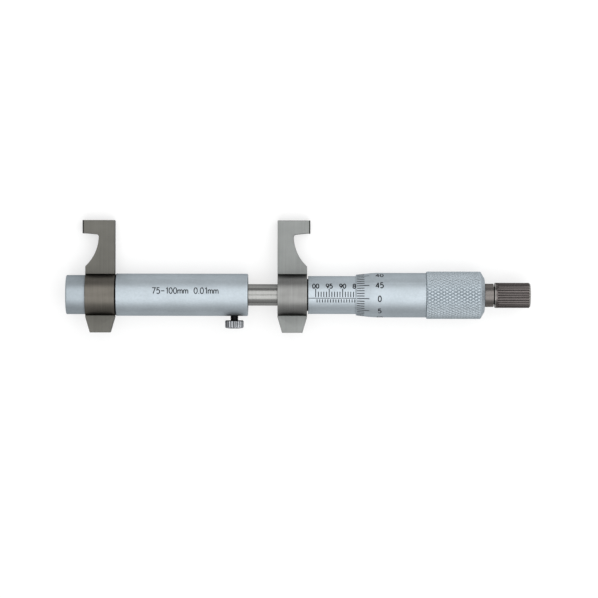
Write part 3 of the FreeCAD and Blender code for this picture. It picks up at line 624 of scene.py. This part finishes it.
def jaw_outline():
    """Corners of a jaw's plate, seen along the plate's normal."""
    outer = -NOSE_PROUD
    inner = outer - JAW_WIDTH
    seat = -TIP_THICKNESS
    nose_bottom = ARM_REACH - NOSE_HEIGHT
    web_top = nose_bottom - NOSE_UNDERCUT
    corner = HOOK_CORNER_RADIUS
    centre = (inner + WEB_THICKNESS + HOOK_ARC_RADIUS, HOOK_ARC_HEIGHT)
    foot = (outer, HOOK_ARC_HEIGHT - math.sqrt(HOOK_ARC_RADIUS ** 2 - (centre[0] - outer) ** 2))
    arc_top = web_top - corner
    arc_top_x = centre[0] - math.sqrt(HOOK_ARC_RADIUS ** 2 - (arc_top - HOOK_ARC_HEIGHT) ** 2)
    corner_centre = (arc_top_x + corner, arc_top)
    corner_end = (arc_top_x + corner, web_top)
    tail_shoulder = -math.sqrt(HUB_RADIUS ** 2 - (JAW_THICKNESS / 2) ** 2) - TAIL_STRAIGHT
    points = [
        (seat, ARM_REACH),
        (inner, ARM_REACH),
        (inner, tail_shoulder),
        (inner + TAIL_INSET, -TAIL_REACH),
        (outer - TAIL_INSET, -TAIL_REACH),
        (outer, tail_shoulder),
    ]
    points += arc_points(centre, HOOK_ARC_RADIUS, foot, (arc_top_x, arc_top), HOOK_STEPS)
    rounded = arc_points(corner_centre, corner, (arc_top_x, arc_top), corner_end, CORNER_STEPS)
    points += rounded[1:]
    points.append((seat, nose_bottom))
    return points


def jaw_plate():
    """Arm, hook and tail in one plate, with broken edges except round the tip's seat."""
    half = JAW_THICKNESS / 2
    bm = prism([(x, y, -half) for x, y in jaw_outline()], (0, 0, JAW_THICKNESS))
    rims = []
    for edge in bm.edges:
        at_seat = all(abs(vert.co.x + TIP_THICKNESS) < TINY for vert in edge.verts)
        if edge.calc_face_angle(0) > SMOOTH_ANGLE and not at_seat:
            rims.append(edge)
    bmesh.ops.bevel(bm, geom=rims, offset=JAW_EDGE, segments=1, affect="EDGES", profile=0.5)
    return finished(bm, "plate")


def jaw_tip(lapped):
    """The crowned tip on the nose, drawn like the jaw with its face at x = 0.

    lapped is how far behind the face its dark part ends.
    """
    half = JAW_THICKNESS / 2
    sag = TIP_CROWN_RADIUS - math.sqrt(TIP_CROWN_RADIUS ** 2 - half ** 2)
    crown = arc_points((-TIP_CROWN_RADIUS, 0), TIP_CROWN_RADIUS, (-sag, -half), (-sag, half),
                       CROWN_STEPS)
    profile = [(-TIP_THICKNESS, -half)] + crown + [(-TIP_THICKNESS, half)]
    bm = prism([(x, ARM_REACH - NOSE_HEIGHT, z) for x, z in profile], (0, NOSE_HEIGHT, 0))
    everything = bm.verts[:] + bm.edges[:] + bm.faces[:]
    bmesh.ops.bisect_plane(bm, geom=everything, plane_co=(-lapped, 0, 0), plane_no=(1, 0, 0))
    return finished(bm, "tip")


def on_right_lap(face):
    """Whether a face is on the dark part of the right tip."""
    return face.center.x > -RIGHT_TIP_LAPPED


def on_left_lap(face):
    """Whether a face is on the dark part of the left tip."""
    return face.center.x < MOVABLE_FACE + LEFT_TIP_LAPPED


def mirrored(mesh):
    """The same mesh for the movable jaw, which looks the other way."""
    mesh.transform(Matrix.Translation((MOVABLE_FACE, 0, 0)) @ Matrix.Scale(-1, 4, (1, 0, 0)))
    mesh.flip_normals()
    return mesh


def jaw_body():
    """The plate with its hub, before the holes are cut."""
    outer = -NOSE_PROUD
    inner = outer - JAW_WIDTH
    hub = turned([
        (inner, 0, 0),
        (inner, HUB_RADIUS, HUB_EDGE),
        (outer, HUB_RADIUS, HUB_EDGE),
        (outer, 0, 0),
    ])
    return combined(jaw_plate(), hub, "UNION")


def on_hub(face):
    """Whether a face belongs to the turned outside of a jaw's hub."""
    reach = math.hypot(face.center.y, face.center.z)
    radial = Vector((0, face.center.y, face.center.z)) / reach
    return abs(reach - HUB_RADIUS) < 2 * HUB_EDGE and radial.dot(face.normal) > HUB_FACING


def fixed_jaw():
    """The right jaw, bored for the guide rod and the neck of the inner sleeve."""
    start = (FIXED_HUB_LEFT - CUT_SPARE, 0, 0)
    rod_hole = cylinder(start, ALONG, JAW_WIDTH + 2 * CUT_SPARE, ROD_RADIUS, SEGMENTS)
    seat_length = FIXED_HUB_RIGHT - NECK_SEAT_LEFT + CUT_SPARE
    neck_seat = cylinder((NECK_SEAT_LEFT, 0, 0), ALONG, seat_length, SLEEVE_BORE_RADIUS, SEGMENTS)
    return combined(combined(jaw_body(), rod_hole, "DIFFERENCE"), neck_seat, "DIFFERENCE")


def movable_jaw():
    """The left jaw, bored for the spigots of the tube and the cap."""
    start = (MOVABLE_HUB_LEFT - CUT_SPARE, 0, 0)
    hole = cylinder(start, ALONG, JAW_WIDTH + 2 * CUT_SPARE, SPIGOT_RADIUS, SEGMENTS)
    return combined(mirrored(jaw_body()), hole, "DIFFERENCE")


# Rod, tube, cap and sleeve

def guide_rod():
    """The hollow rod, with a keyway along its back."""
    rod = turned([
        (ROD_LEFT, ROD_BORE_RADIUS, 0),
        (ROD_LEFT, ROD_RADIUS, ROD_EDGE),
        (ROD_RIGHT, ROD_RADIUS, 0),
        (ROD_RIGHT, ROD_BORE_RADIUS, 0),
    ])
    half = KEYWAY_WIDTH / 2
    keyway = block(
        (KEY_LEFT - TRAVEL_OUT - KEYWAY_SPARE, KEY_RIGHT + TRAVEL_IN + KEYWAY_SPARE),
        (-half, half),
        (-ROD_RADIUS - KEYWAY_DEPTH, -ROD_RADIUS + KEYWAY_DEPTH),
    )
    return combined(rod, keyway, "DIFFERENCE")


def body_tube():
    """The tube, with its spigot and the hole of the lock screw."""
    bore = TUBE_RADIUS - TUBE_WALL
    step = TUBE_LEFT + TUBE_STEP
    tube = turned([
        (TUBE_SPIGOT_END, SPIGOT_BORE_RADIUS, 0),
        (TUBE_SPIGOT_END, SPIGOT_RADIUS, 0),
        (TUBE_LEFT, SPIGOT_RADIUS, 0),
        (TUBE_LEFT, TUBE_RADIUS, TUBE_EDGE),
        (TUBE_RIGHT, TUBE_RADIUS, TUBE_END_ROUND),
        (TUBE_RIGHT, bore, TUBE_EDGE / 2),
        (step, bore, 0),
        (step, SPIGOT_BORE_RADIUS, 0),
    ])
    lock_hole = cylinder((LOCK_X, 0, 0), (0, -1, 0), TUBE_RADIUS + CUT_SPARE, LOCK_HOLE_RADIUS)
    return combined(tube, lock_hole, "DIFFERENCE")


def end_cap():
    """The hollow cap, with its spigot."""
    return turned([
        (CAP_LEFT, 0, 0),
        (CAP_LEFT, CAP_RADIUS, CAP_EDGE),
        (MOVABLE_HUB_LEFT, CAP_RADIUS, 0),
        (MOVABLE_HUB_LEFT, SPIGOT_RADIUS, 0),
        (CAP_SPIGOT_END, SPIGOT_RADIUS, 0),
        (CAP_SPIGOT_END, CAP_BORE_RADIUS, 0),
        (CAP_LEFT + CAP_WALL, CAP_BORE_RADIUS, 0),
        (CAP_LEFT + CAP_WALL, 0, 0),
    ])


def scale_sleeve():
    """The plain sleeve under the scale, with a spanner hole in its back."""
    sleeve = turned([
        (SLEEVE_LEFT, SLEEVE_BORE_RADIUS, 0),
        (SLEEVE_LEFT, SLEEVE_RADIUS, SLEEVE_EDGE),
        (SLEEVE_RIGHT, SLEEVE_RADIUS, 0),
        (SLEEVE_RIGHT, SLEEVE_BORE_RADIUS, 0),
    ])
    start = (SLEEVE_LEFT + SPANNER_HOLE_FROM_END, 0, 0)
    hole = cylinder(start, (0, 0, -1), SLEEVE_RADIUS + CUT_SPARE, SPANNER_HOLE_RADIUS,
                    SPANNER_HOLE_SEGMENTS)
    return combined(sleeve, hole, "DIFFERENCE")


# Thimble, with a knurl of diamonds that stand between two families of slanting grooves

def groove_height(count):
    """0 at a groove's bottom and 1 on the lands, from a place counted in knurl points."""
    away = abs((count + POINTS_PER_KNURL / 2) % POINTS_PER_KNURL - POINTS_PER_KNURL / 2)
    return min(1.0, away / (POINTS_PER_KNURL / 4))


def knurl_radii(row, limit):
    """Radii round one row of the knurl, none larger than limit."""
    radii = []
    for index in range(KNURLS_AROUND * POINTS_PER_KNURL):
        height = min(groove_height(index + row), groove_height(index - row))
        radii.append(min(limit, KNURL_RADIUS - KNURL_DEPTH * (1 - height)))
    return radii


def thimble():
    """The thimble, from its bore over bevel and knurl to the taper seat."""
    count = KNURLS_AROUND * POINTS_PER_KNURL
    knurl_right = THIMBLE_RIGHT - THIMBLE_END_SLOPE
    knurl_left = knurl_right - KNURL_LENGTH
    bevel_end = THIMBLE_LEFT + THIMBLE_BEVEL_LENGTH
    floor = THIMBLE_RIGHT - THIMBLE_END_WALL
    seat_end = THIMBLE_RIGHT - TAPER_SEAT_SHORT
    before = softened([
        (floor, THIMBLE_BORE_RADIUS, 0),
        (THIMBLE_LEFT, THIMBLE_BORE_RADIUS, 0),
        (THIMBLE_LEFT, THIMBLE_EDGE_RADIUS, THIMBLE_EDGE_ROUND),
        (bevel_end, THIMBLE_BEVEL_RADIUS, THIMBLE_BEVEL_ROUND),
        (bevel_end + THIMBLE_BLEND_LENGTH, THIMBLE_RADIUS, THIMBLE_BLEND_ROUND),
        (knurl_left - KNURL_LINE_WIDTH, THIMBLE_RADIUS, KNURL_LINE_ROUND),
        (knurl_left, THIMBLE_RADIUS - KNURL_LINE_DEPTH, KNURL_LINE_ROUND),
        (knurl_left, THIMBLE_RADIUS, 0),
    ])
    after = [
        (knurl_right, KNURL_RADIUS - KNURL_STEP),
        (THIMBLE_RIGHT - THIMBLE_END_EDGE, THIMBLE_END_RADIUS + THIMBLE_END_EDGE_FALL),
        (THIMBLE_RIGHT, THIMBLE_END_RADIUS),
        (THIMBLE_RIGHT, TAPER_SEAT_SMALL_RADIUS),
        (seat_end, TAPER_SEAT_SMALL_RADIUS),
        (floor, TAPER_SEAT_BIG_RADIUS),
    ]
    rows = round(KNURLS_ALONG * POINTS_PER_KNURL)
    pitch = KNURL_LENGTH / rows
    slope = (KNURL_RADIUS - THIMBLE_RADIUS) / KNURL_STEP
    rings = [ring(x, [radius] * count) for x, radius in before]
    first_row = len(rings)
    for row in range(1, rows):
        along = row * pitch
        left_limit = THIMBLE_RADIUS + slope * along
        right_limit = KNURL_RADIUS - KNURL_STEP + (KNURL_LENGTH - along)
        rings.append(ring(knurl_left + along, knurl_radii(row, min(left_limit, right_limit))))
    last_row = len(rings) - 1
    rings += [ring(x, [radius] * count) for x, radius in after]

    def slanted(row, index):
        """The diagonal that follows the nearer groove."""
        if not first_row <= row < last_row:
            return None
        knurl_row = row - first_row + 1
        rising = groove_height(index + knurl_row + 1)
        falling = groove_height(index - knurl_row)
        return rising > falling

    return skin(rings, slanted)


def on_knurl(face):
    """Whether a face stands above the plain part of the thimble."""
    return math.hypot(face.center.y, face.center.z) > THIMBLE_RADIUS + KNURL_STEP / 3


# Ratchet knob and lock screw

def ribbed(radius, ribs, depth):
    """Radii round a ribbed cylinder, with rounded ribs between narrow grooves."""
    radii = []
    for index in range(ribs * POINTS_PER_RIB):
        turn = 2 * math.pi * index / POINTS_PER_RIB
        radii.append(radius - depth * (1 + math.cos(turn)) / 2)
    return radii


def ratchet_knob():
    """The ribbed knob, with a recess in its end and grooves for the ring's lugs."""
    count = KNOB_RIBS * POINTS_PER_RIB
    band_end = KNOB_LEFT + KNOB_BAND
    floor = KNOB_RIGHT - KNOB_END_RECESS
    inner_floor = floor - KNOB_END_WALL
    ribs = ribbed(KNOB_RADIUS, KNOB_RIBS, KNOB_RIB_DEPTH)
    before = softened([
        (inner_floor, KNOB_SCREW_HOLE_RADIUS, 0),
        (inner_floor, KNOB_BORE_RADIUS, 0),
        (KNOB_LEFT, KNOB_BORE_RADIUS, 0),
        (KNOB_LEFT, KNOB_RADIUS, KNOB_EDGE / 2),
        (band_end, KNOB_RADIUS, 0),
    ])
    after = softened([
        (KNOB_RIGHT - KNOB_EDGE + KNOB_RIB_DEPTH, KNOB_RADIUS - KNOB_RIB_DEPTH, 0),
        (KNOB_RIGHT, KNOB_RADIUS - KNOB_EDGE, KNOB_RIM_ROUND),
        (KNOB_RIGHT, KNOB_RECESS_RADIUS, KNOB_RIM_ROUND),
        (floor, KNOB_RECESS_RADIUS, 0),
        (floor, KNOB_SCREW_HOLE_RADIUS, 0),
    ])
    rings = [ring(x, [radius] * count) for x, radius in before]
    rings.append(ring(band_end + KNOB_RIB_RUNOUT, ribs))
    rings.append(ring(KNOB_RIGHT - KNOB_EDGE, ribs))
    rings += [ring(x, [radius] * count) for x, radius in after]
    knob = skin(rings)
    half = LUG_WIDTH / 2
    lug_end = RING_RIGHT + KNOB_RIB_DEPTH
    grooves = block((KNOB_LEFT - CUT_SPARE, lug_end), (-LUG_RADIUS, LUG_RADIUS), (-half, half))
    return combined(knob, grooves, "DIFFERENCE")


def on_knob_rim(face):
    """Whether a face is on the rim at either end of the knob, which is painted lighter as a
    highlight.
    """
    x, *across = face.center
    reach = math.hypot(*across)
    if reach > KNOB_RADIUS - KNOB_EDGE / 2 and x < KNOB_LEFT + KNOB_EDGE * KNOB_LEFT_HIGHLIGHT_SHARE:
        return True
    return reach > KNOB_RECESS_RADIUS and x > KNOB_RIGHT - KNOB_EDGE * KNOB_RIGHT_HIGHLIGHT_SHARE


def lock_screw():
    """Drawn along X like the turned pieces, then stood on the lock's own axis."""
    count = LOCK_RIBS * POINTS_PER_RIB
    top = LOCK_HEAD_BOTTOM + LOCK_HEAD_THICKNESS
    shoulder = top - LOCK_HEAD_DOME
    ribs = ribbed(LOCK_HEAD_RADIUS, LOCK_RIBS, LOCK_RIB_DEPTH)
    edge = LOCK_HEAD_EDGE
    depth = LOCK_RIB_DEPTH
    before = [
        (LOCK_PAD_OUTER, 0),
        (LOCK_PAD_OUTER, LOCK_NECK_RADIUS),
        (LOCK_HEAD_BOTTOM, LOCK_NECK_RADIUS),
        (LOCK_HEAD_BOTTOM, LOCK_HEAD_RADIUS - edge),
        (LOCK_HEAD_BOTTOM + edge - depth, LOCK_HEAD_RADIUS - depth),
    ]
    after = [
        (shoulder - edge + depth, LOCK_HEAD_RADIUS - depth),
        (shoulder, LOCK_HEAD_RADIUS - edge),
        (top - LOCK_FLAT_FALL, LOCK_HEAD_RADIUS / 2 + LOCK_FLAT_BLEND),
    ]
    after += [(top, LOCK_HEAD_RADIUS / part) for part in LOCK_FLAT_PARTS]
    after.append((top, 0))
    rings = [ring(x, [radius] * count) for x, radius in before]
    rings.append(ring(LOCK_HEAD_BOTTOM + edge, ribs))
    rings.append(ring(shoulder - edge, ribs))
    rings += [ring(x, [radius] * count) for x, radius in after]
    screw = skin(rings)
    screw.transform(Matrix.Translation((LOCK_X, 0, 0)) @ Matrix.Rotation(-math.pi / 2, 4, "Z"))
    return screw


def under_head(face):
    """Whether a face is on the lock screw's blackened neck, or on the underside and lower edge of
    its head, which are painted near-black as shade.
    """
    return face.center.y > -LOCK_HEAD_BOTTOM - LOCK_HEAD_EDGE


# Marks: lines and figures drawn flat in millimetres, then wrapped on a turned surface

def curve(centre_x, centre_y, radius_x, radius_y, start, stop):
    """Points on an ellipse between two angles in degrees."""
    steps = round(abs(stop - start) / STROKE_TURN)
    points = []
    for step in range(steps + 1):
        angle = math.radians(start + (stop - start) * step / steps)
        points.append((centre_x + radius_x * math.cos(angle), centre_y + radius_y * math.sin(angle)))
    return points


# Each figure is 1 high and is a list of strokes
FIGURES = {
    "0": [curve(0.31, 0.5, 0.31, 0.5, 0, 360)],
    "1": [[(0.1, 0.8), (0.34, 1), (0.34, 0)]],
    "2": [curve(0.31, 0.69, 0.29, 0.31, 170, -40) + [(0.02, 0), (0.62, 0)]],
    "3": [curve(0.29, 0.755, 0.27, 0.245, 150, -90) + curve(0.29, 0.255, 0.31, 0.255, 80, -150)],
    "4": [[(0.46, 0), (0.46, 1)], [(0.46, 1), (0, 0.3), (0.62, 0.3)]],
    "5": [[(0.56, 1), (0.12, 1), (0.07, 0.56)] + curve(0.3, 0.33, 0.31, 0.33, 125, -145)],
    "7": [[(0, 1), (0.6, 1), (0.2, 0)]],
    "8": [curve(0.31, 0.75, 0.25, 0.25, 0, 360), curve(0.31, 0.25, 0.31, 0.25, 0, 360)],
    "9": [curve(0.31, 0.69, 0.29, 0.31, 0, 360), curve(0.02, 0.62, 0.58, 0.62, 0, -72)],
    "-": [[(0, 0.46), (0.66, 0.46)]],
    ".": [[(0.06, 0), (0.06, 0.1)]],
    "m": [
        [(0, 0), (0, 0.64)],
        [(0, 0.4)] + curve(0.22, 0.42, 0.2, 0.22, 150, 0) + [(0.42, 0)],
        [(0.42, 0.4)] + curve(0.64, 0.42, 0.2, 0.22, 150, 0) + [(0.84, 0)],
    ],
    " ": [],
}
FIGURE_WIDTHS = {".": 0.12, "-": 0.66, "m": 0.84, "1": 0.44, " ": 0.73}
FIGURE_WIDTH = 0.62           # of all others
FIGURE_GAP = 0.2


def figure_width(figure):
    """The width of a figure that is 1 high."""
    return FIGURE_WIDTHS.get(figure, FIGURE_WIDTH)


def text_strokes(text, height, left, middle, stretch):
    """Strokes of a line of figures that starts at left and is centred on middle."""
    strokes = []
    pen = 0.0
    for figure in text:
        for stroke in FIGURES[figure]:
            strokes.append([
                (left + (pen + x) * height * stretch, middle + (y - 0.5) * height) for x, y in stroke
            ])
        pen += figure_width(figure) + FIGURE_GAP / stretch
    return strokes


def text_width(text, height, stretch):
    """The width of a line of figures, gaps included."""
    figures = stretch * sum(figure_width(figure) for figure in text)
    return height * (figures + FIGURE_GAP * (len(text) - 1))


def divided(stroke):
    """The same stroke with extra points where it would cut through a curved surface."""
    points = [Vector(stroke[0])]
    for start, stop in zip(stroke[:-1], stroke[1:]):
        steps = max(1, math.ceil(abs(stop[1] - start[1]) / STROKE_STEP))
        for step in range(1, steps + 1):
            points.append(Vector(start).lerp(Vector(stop), step / steps))
    return points


def stroke_sides(points, width):
    """The two sides of a stroke, mitred at its corners, and whether it is closed."""
    closed = (points[0] - points[-1]).length < TINY
    if closed:
        points = points[:-1]
    sides = []
    for index, point in enumerate(points):
        before = points[index - 1] if index or closed else None
        after = points[(index + 1) % len(points)] if index + 1 < len(points) or closed else None
        ways = []
        if before is not None:
            ways.append((point - before).normalized())
        if after is not None:
            ways.append((after - point).normalized())
        way = sum(ways, Vector((0, 0))).normalized()
        reach = width / 2 / max(MITRE_LIMIT, way.dot(ways[0]))
        normal = Vector((-way.y, way.x)) * reach
        sides.append((point + normal, point - normal))
    return sides, closed


def wrapped(strokes, width, heading, radius, radius_at=None):
    """A closed mesh of strokes laid on a turned surface.

    A stroke's x runs along the spindle axis and its y round the surface, upwards in the
    photograph; heading is the angle of y = 0 above the front, in degrees, and radius_at
    gives the surface's radius at a place where it isn't a plain cylinder.
    """
    bm = bmesh.new()

    def laid(point, height):
        surface = radius_at(point.x) if radius_at else radius
        angle = math.radians(90 - heading) - point.y / radius
        reach = surface + height
        return bm.verts.new((point.x, reach * math.cos(angle), reach * math.sin(angle)))

    for stroke in strokes:
        sides, closed = stroke_sides(divided(stroke), width)
        loops = []
        for left, right in sides:
            loops.append([
                laid(left, MARK_PROUD),
                laid(right, MARK_PROUD),
                laid(right, -MARK_SINK),
                laid(left, -MARK_SINK),
            ])
        pairs = list(zip(loops[:-1], loops[1:]))
        if closed:
            pairs.append((loops[-1], loops[0]))
        else:
            bm.faces.new(loops[0])
            bm.faces.new(loops[-1])
        for first, second in pairs:
            for index in range(4):
                after = (index + 1) % 4
                bm.faces.new((first[index], first[after], second[after], second[index]))
    bmesh.ops.recalc_face_normals(bm, faces=bm.faces)
    return finished(bm, "marks")


def joined(meshes):
    """One mesh from several."""
    bm = bmesh.new()
    for mesh in meshes:
        bm.from_mesh(mesh)
    return finished(bm, "joined")


def sleeve_marks():
    """The index line, with millimetres above it and half millimetres below."""
    lines = []
    figures = []
    for count in range(2 * SCALE_LENGTH + 1):
        x = SCALE_START + count / 2
        if count % 2:
            lines.append([(x, -LINE_GAP), (x, -HALF_MM_LINE_BOTTOM)])
        elif count % 10:
            lines.append([(x, LINE_GAP), (x, MM_LINE_TOP)])
        else:
            lines.append([(x, LINE_GAP), (x, FIVE_MM_LINE_TOP)])
            text = "%02d" % ((LARGEST_SETTING - count // 2) % 100)
            left = x - text_width(text, SLEEVE_DIGIT_HEIGHT, SLEEVE_DIGIT_STRETCH) / 2
            figures += text_strokes(text, SLEEVE_DIGIT_HEIGHT, left, SLEEVE_DIGIT_LIFT,
                                    SLEEVE_DIGIT_STRETCH)
    index_end = SCALE_START + SCALE_LENGTH + INDEX_LINE_SPARE
    index_line = [[(SLEEVE_LEFT + SLEEVE_EDGE, 0), (index_end, 0)]]
    return joined([
        wrapped(index_line, INDEX_LINE_WIDTH, -INDEX_ANGLE, SLEEVE_RADIUS),
        wrapped(lines, SCALE_LINE_WIDTH, -INDEX_ANGLE, SLEEVE_RADIUS),
        wrapped(figures, DIGIT_LINE_WIDTH, -INDEX_ANGLE, SLEEVE_RADIUS),
    ])


def bevel_radius(x):
    """The thimble's radius on its bevel and just past it."""
    share = (x - THIMBLE_LEFT) / THIMBLE_BEVEL_LENGTH
    on_bevel = THIMBLE_EDGE_RADIUS + (THIMBLE_BEVEL_RADIUS - THIMBLE_EDGE_RADIUS) * share
    return min(on_bevel, THIMBLE_RADIUS)


def thimble_marks():
    """The divisions grow downwards in the photograph, from the 0 on the index line."""
    meshes = []
    start = THIMBLE_LEFT + THIMBLE_LINE_START
    for count in range(THIMBLE_DIVISIONS):
        heading = -INDEX_ANGLE - 360 * count / THIMBLE_DIVISIONS
        five = count % 5 == 0
        length = THIMBLE_FIVE_LINE_LENGTH if five else THIMBLE_LINE_LENGTH
        line = [[(start, 0), (start + length, 0)]]
        meshes.append(wrapped(line, SCALE_LINE_WIDTH, heading, THIMBLE_RADIUS, bevel_radius))
        if five:
            text = str(count)
            middle = THIMBLE_LEFT + THIMBLE_DIGIT_PLACE
            left = middle - text_width(text, THIMBLE_DIGIT_HEIGHT, THIMBLE_DIGIT_STRETCH) / 2
            strokes = text_strokes(text, THIMBLE_DIGIT_HEIGHT, left, 0, THIMBLE_DIGIT_STRETCH)
            meshes.append(wrapped(strokes, DIGIT_LINE_WIDTH, heading, THIMBLE_RADIUS))
    return joined(meshes)


def tube_marks():
    """The range marking on the tube."""
    strokes = text_strokes(RANGE_TEXT, RANGE_TEXT_HEIGHT, RANGE_TEXT_LEFT, 0, RANGE_TEXT_STRETCH)
    return wrapped(strokes, RANGE_LINE_WIDTH, RANGE_TEXT_ANGLE, TUBE_RADIUS)


# The pieces, with the CAD nodes that they stand for

piece("jaw_right", fixed_jaw(), right_jaw_steel, "frame", ["fixed_jaw"],
      second=right_hub_steel, second_where=on_hub)
piece("jaw_right_tip", jaw_tip(RIGHT_TIP_LAPPED), right_jaw_steel, "frame",
      ["fixed_jaw_tip"], second=face_steel, second_where=on_right_lap)
piece("rod", guide_rod(), polished_steel, "frame", ["guide_rod"])
piece("sleeve", scale_sleeve(), satin_chrome, "frame", ["scale_sleeve"])
piece("sleeve_scale", sleeve_marks(), mark_paint, "frame")
piece("jaw_left", movable_jaw(), left_jaw_steel, "carriage", ["movable_jaw"],
      second=left_hub_steel, second_where=on_hub)
piece("jaw_left_tip", mirrored(jaw_tip(LEFT_TIP_LAPPED)), left_jaw_steel, "carriage",
      ["movable_jaw_tip"], second=face_steel, second_where=on_left_lap)
piece("tube", body_tube(), tube_chrome, "carriage", ["body_tube"])
piece("tube_range", tube_marks(), mark_paint, "carriage")
piece("cap", end_cap(), cap_chrome, "carriage", ["end_cap"])
piece("thimble_body", thimble(), satin_chrome, "screw", ["thimble"],
      second=knurl_chrome, second_where=on_knurl)
piece("thimble_scale", thimble_marks(), mark_paint, "screw")
# The knob's end rims get a lighter steel as a painted highlight.
piece("knob", ratchet_knob(), knob_steel, "ratchet", ["ratchet_knob"],
      second=rim_highlight_steel, second_where=on_knob_rim)
# The lock screw's neck is blackened; the underside and lower edge of its head share that near-black
# as painted shade.
piece("lock_head", lock_screw(), lock_steel, "lock_thumb_screw", ["lock_screw"],
      second=blackened_steel, second_where=under_head)

# The CAD nodes that stay
FINISHES = {
    # The inner sleeve shows only in the gap beside the right jaw's hub, where its near-black is
    # painted shade.
    blackened_steel: ["inner_sleeve", "spacer_ring"],
    turned_steel: ["adjusting_nut", "guide_key", "spindle", "thrust_washer", "thrust_nut",
                   "thrust_lock_nut", "ratchet_screw", "ratchet_ring", "ratchet_spring"],
    bronze: ["guide_bush", "thrust_bush", "lock_pad"],
    ratchet_steel: ["ratchet_base"],
}
for material, names in FINISHES.items():
    for name in names:
        for material_slot in frame["nodes"][name].material_slots:
            material_slot.material = material

# Stage
FLOOR_SIZE = 6.0
FLOOR_CELLS = 8
FLOOR_COLOUR = (0.93, 0.93, 0.93, 1)
FLOOR_WHITE_SHARE = 0.62
WORLD_HIGH = 0.97             # the studio's grey towards WORLD_BRIGHT_WAY
WORLD_LOW = 0.33              # and square to it or behind
WORLD_BRIGHT_WAY = (0.5, 0, 1)
PANEL_DISTANCE = 1.0
PANEL_ANGLE = 24.5            # between the camera's line of sight and the panel's middle
PANEL_WIDTH = 0.75
PANEL_LENGTH = 1.3
PANEL_SHIFT = 0.2             # towards the ratchet
PANEL_POWER = 4.6
CAMERA_DISTANCE = 1.2
CAMERA_LOOK_X = -4.2          # the point it looks at, along the instrument's own axes
CAMERA_LOOK_Y = -1.5
CAMERA_ROLL = 0.11            # degrees
CAMERA_LENS = 193.6
CAMERA_SENSOR = 36


def floor_material():
    """A pale floor that shows a little whiter to the camera and in reflections than it is lit."""
    material = bpy.data.materials.new("floor")
    material.use_nodes = True
    tree = material.node_tree
    tree.nodes.remove(tree.nodes["Principled BSDF"])
    output = tree.nodes["Material Output"]
    diffuse = node(tree, "ShaderNodeBsdfDiffuse", Color=FLOOR_COLOUR)
    glow = node(tree, "ShaderNodeEmission", Color=(1, 1, 1, 1), Strength=1.0)
    path = node(tree, "ShaderNodeLightPath")
    seen = math_node(tree, "ADD", path.outputs["Is Camera Ray"], path.outputs["Is Glossy Ray"])
    seen = math_node(tree, "MAXIMUM", seen, path.outputs["Is Transmission Ray"])
    share = math_node(tree, "MULTIPLY", math_node(tree, "MINIMUM", seen, 1.0), FLOOR_WHITE_SHARE)
    mix = node(tree, "ShaderNodeMixShader")
    tree.links.new(share, mix.inputs[0])
    tree.links.new(diffuse.outputs["BSDF"], mix.inputs[1])
    tree.links.new(glow.outputs["Emission"], mix.inputs[2])
    tree.links.new(mix.outputs["Shader"], output.inputs["Surface"])
    return material


def make_floor():
    """A wide level floor under the instrument."""
    bm = bmesh.new()
    bmesh.ops.create_grid(bm, x_segments=FLOOR_CELLS, y_segments=FLOOR_CELLS, size=FLOOR_SIZE / 2)
    mesh = finished(bm, "floor")
    mesh.materials.append(floor_material())
    placed("floor", mesh)


def make_world():
    """A grey studio, bright towards WORLD_BRIGHT_WAY, that looks white to the camera."""
    world = bpy.data.worlds.new("studio")
    world.use_nodes = True
    tree = world.node_tree
    place = node(tree, "ShaderNodeTexCoord")
    facing = node(tree, "ShaderNodeVectorMath", operation="DOT_PRODUCT")
    facing.inputs[1].default_value = WORLD_BRIGHT_WAY
    tree.links.new(place.outputs["Generated"], facing.inputs[0])
    share = ranged(tree, facing.outputs["Value"], 0.0, 1.0, 0.0, 1.0)
    grey = blended(tree, share, (WORLD_LOW,) * 3, (WORLD_HIGH,) * 3)
    path = node(tree, "ShaderNodeLightPath")
    seen = blended(tree, path.outputs["Is Camera Ray"], grey, (1.0, 1.0, 1.0))
    tree.links.new(seen, tree.nodes["Background"].inputs["Color"])
    bpy.context.scene.world = world


def make_panel(name, side):
    """A soft panel above one side of the instrument, facing it."""
    angle = math.radians(PANEL_ANGLE) * side
    way = PLATE * math.cos(angle) + ARM * math.sin(angle)
    light = bpy.data.lights.new(name, "AREA")
    light.shape = "RECTANGLE"
    light.size = PANEL_LENGTH
    light.size_y = PANEL_WIDTH
    light.energy = PANEL_POWER
    lamp = placed(name, light)
    across = way.cross(ALONG).normalized()
    turn = Matrix((ALONG, across, way)).transposed().to_4x4()
    lamp.matrix_world = Matrix.Translation(way * PANEL_DISTANCE + ALONG * PANEL_SHIFT) @ turn
    lamp.visible_camera = False


def make_camera():
    """Looks straight at the jaw plates, as in the photograph."""
    roll = math.radians(CAMERA_ROLL)
    camera_data = bpy.data.cameras.new("camera")
    camera_data.sensor_width = CAMERA_SENSOR
    camera_data.lens = CAMERA_LENS
    camera = placed("camera", camera_data)
    right = ALONG * math.cos(roll) + ARM * math.sin(roll)
    up = PLATE.cross(right)
    turn = Matrix((right, up, PLATE)).transposed().to_4x4()
    target = LAID @ Vector((CAMERA_LOOK_X, CAMERA_LOOK_Y, 0))
    camera.matrix_world = Matrix.Translation(target + PLATE * CAMERA_DISTANCE) @ turn
    bpy.context.scene.camera = camera


make_floor()
make_world()
make_panel("panel_upper", 1)
make_panel("panel_lower", -1)
make_camera()
bpy.context.scene.view_settings.view_transform = "Standard"
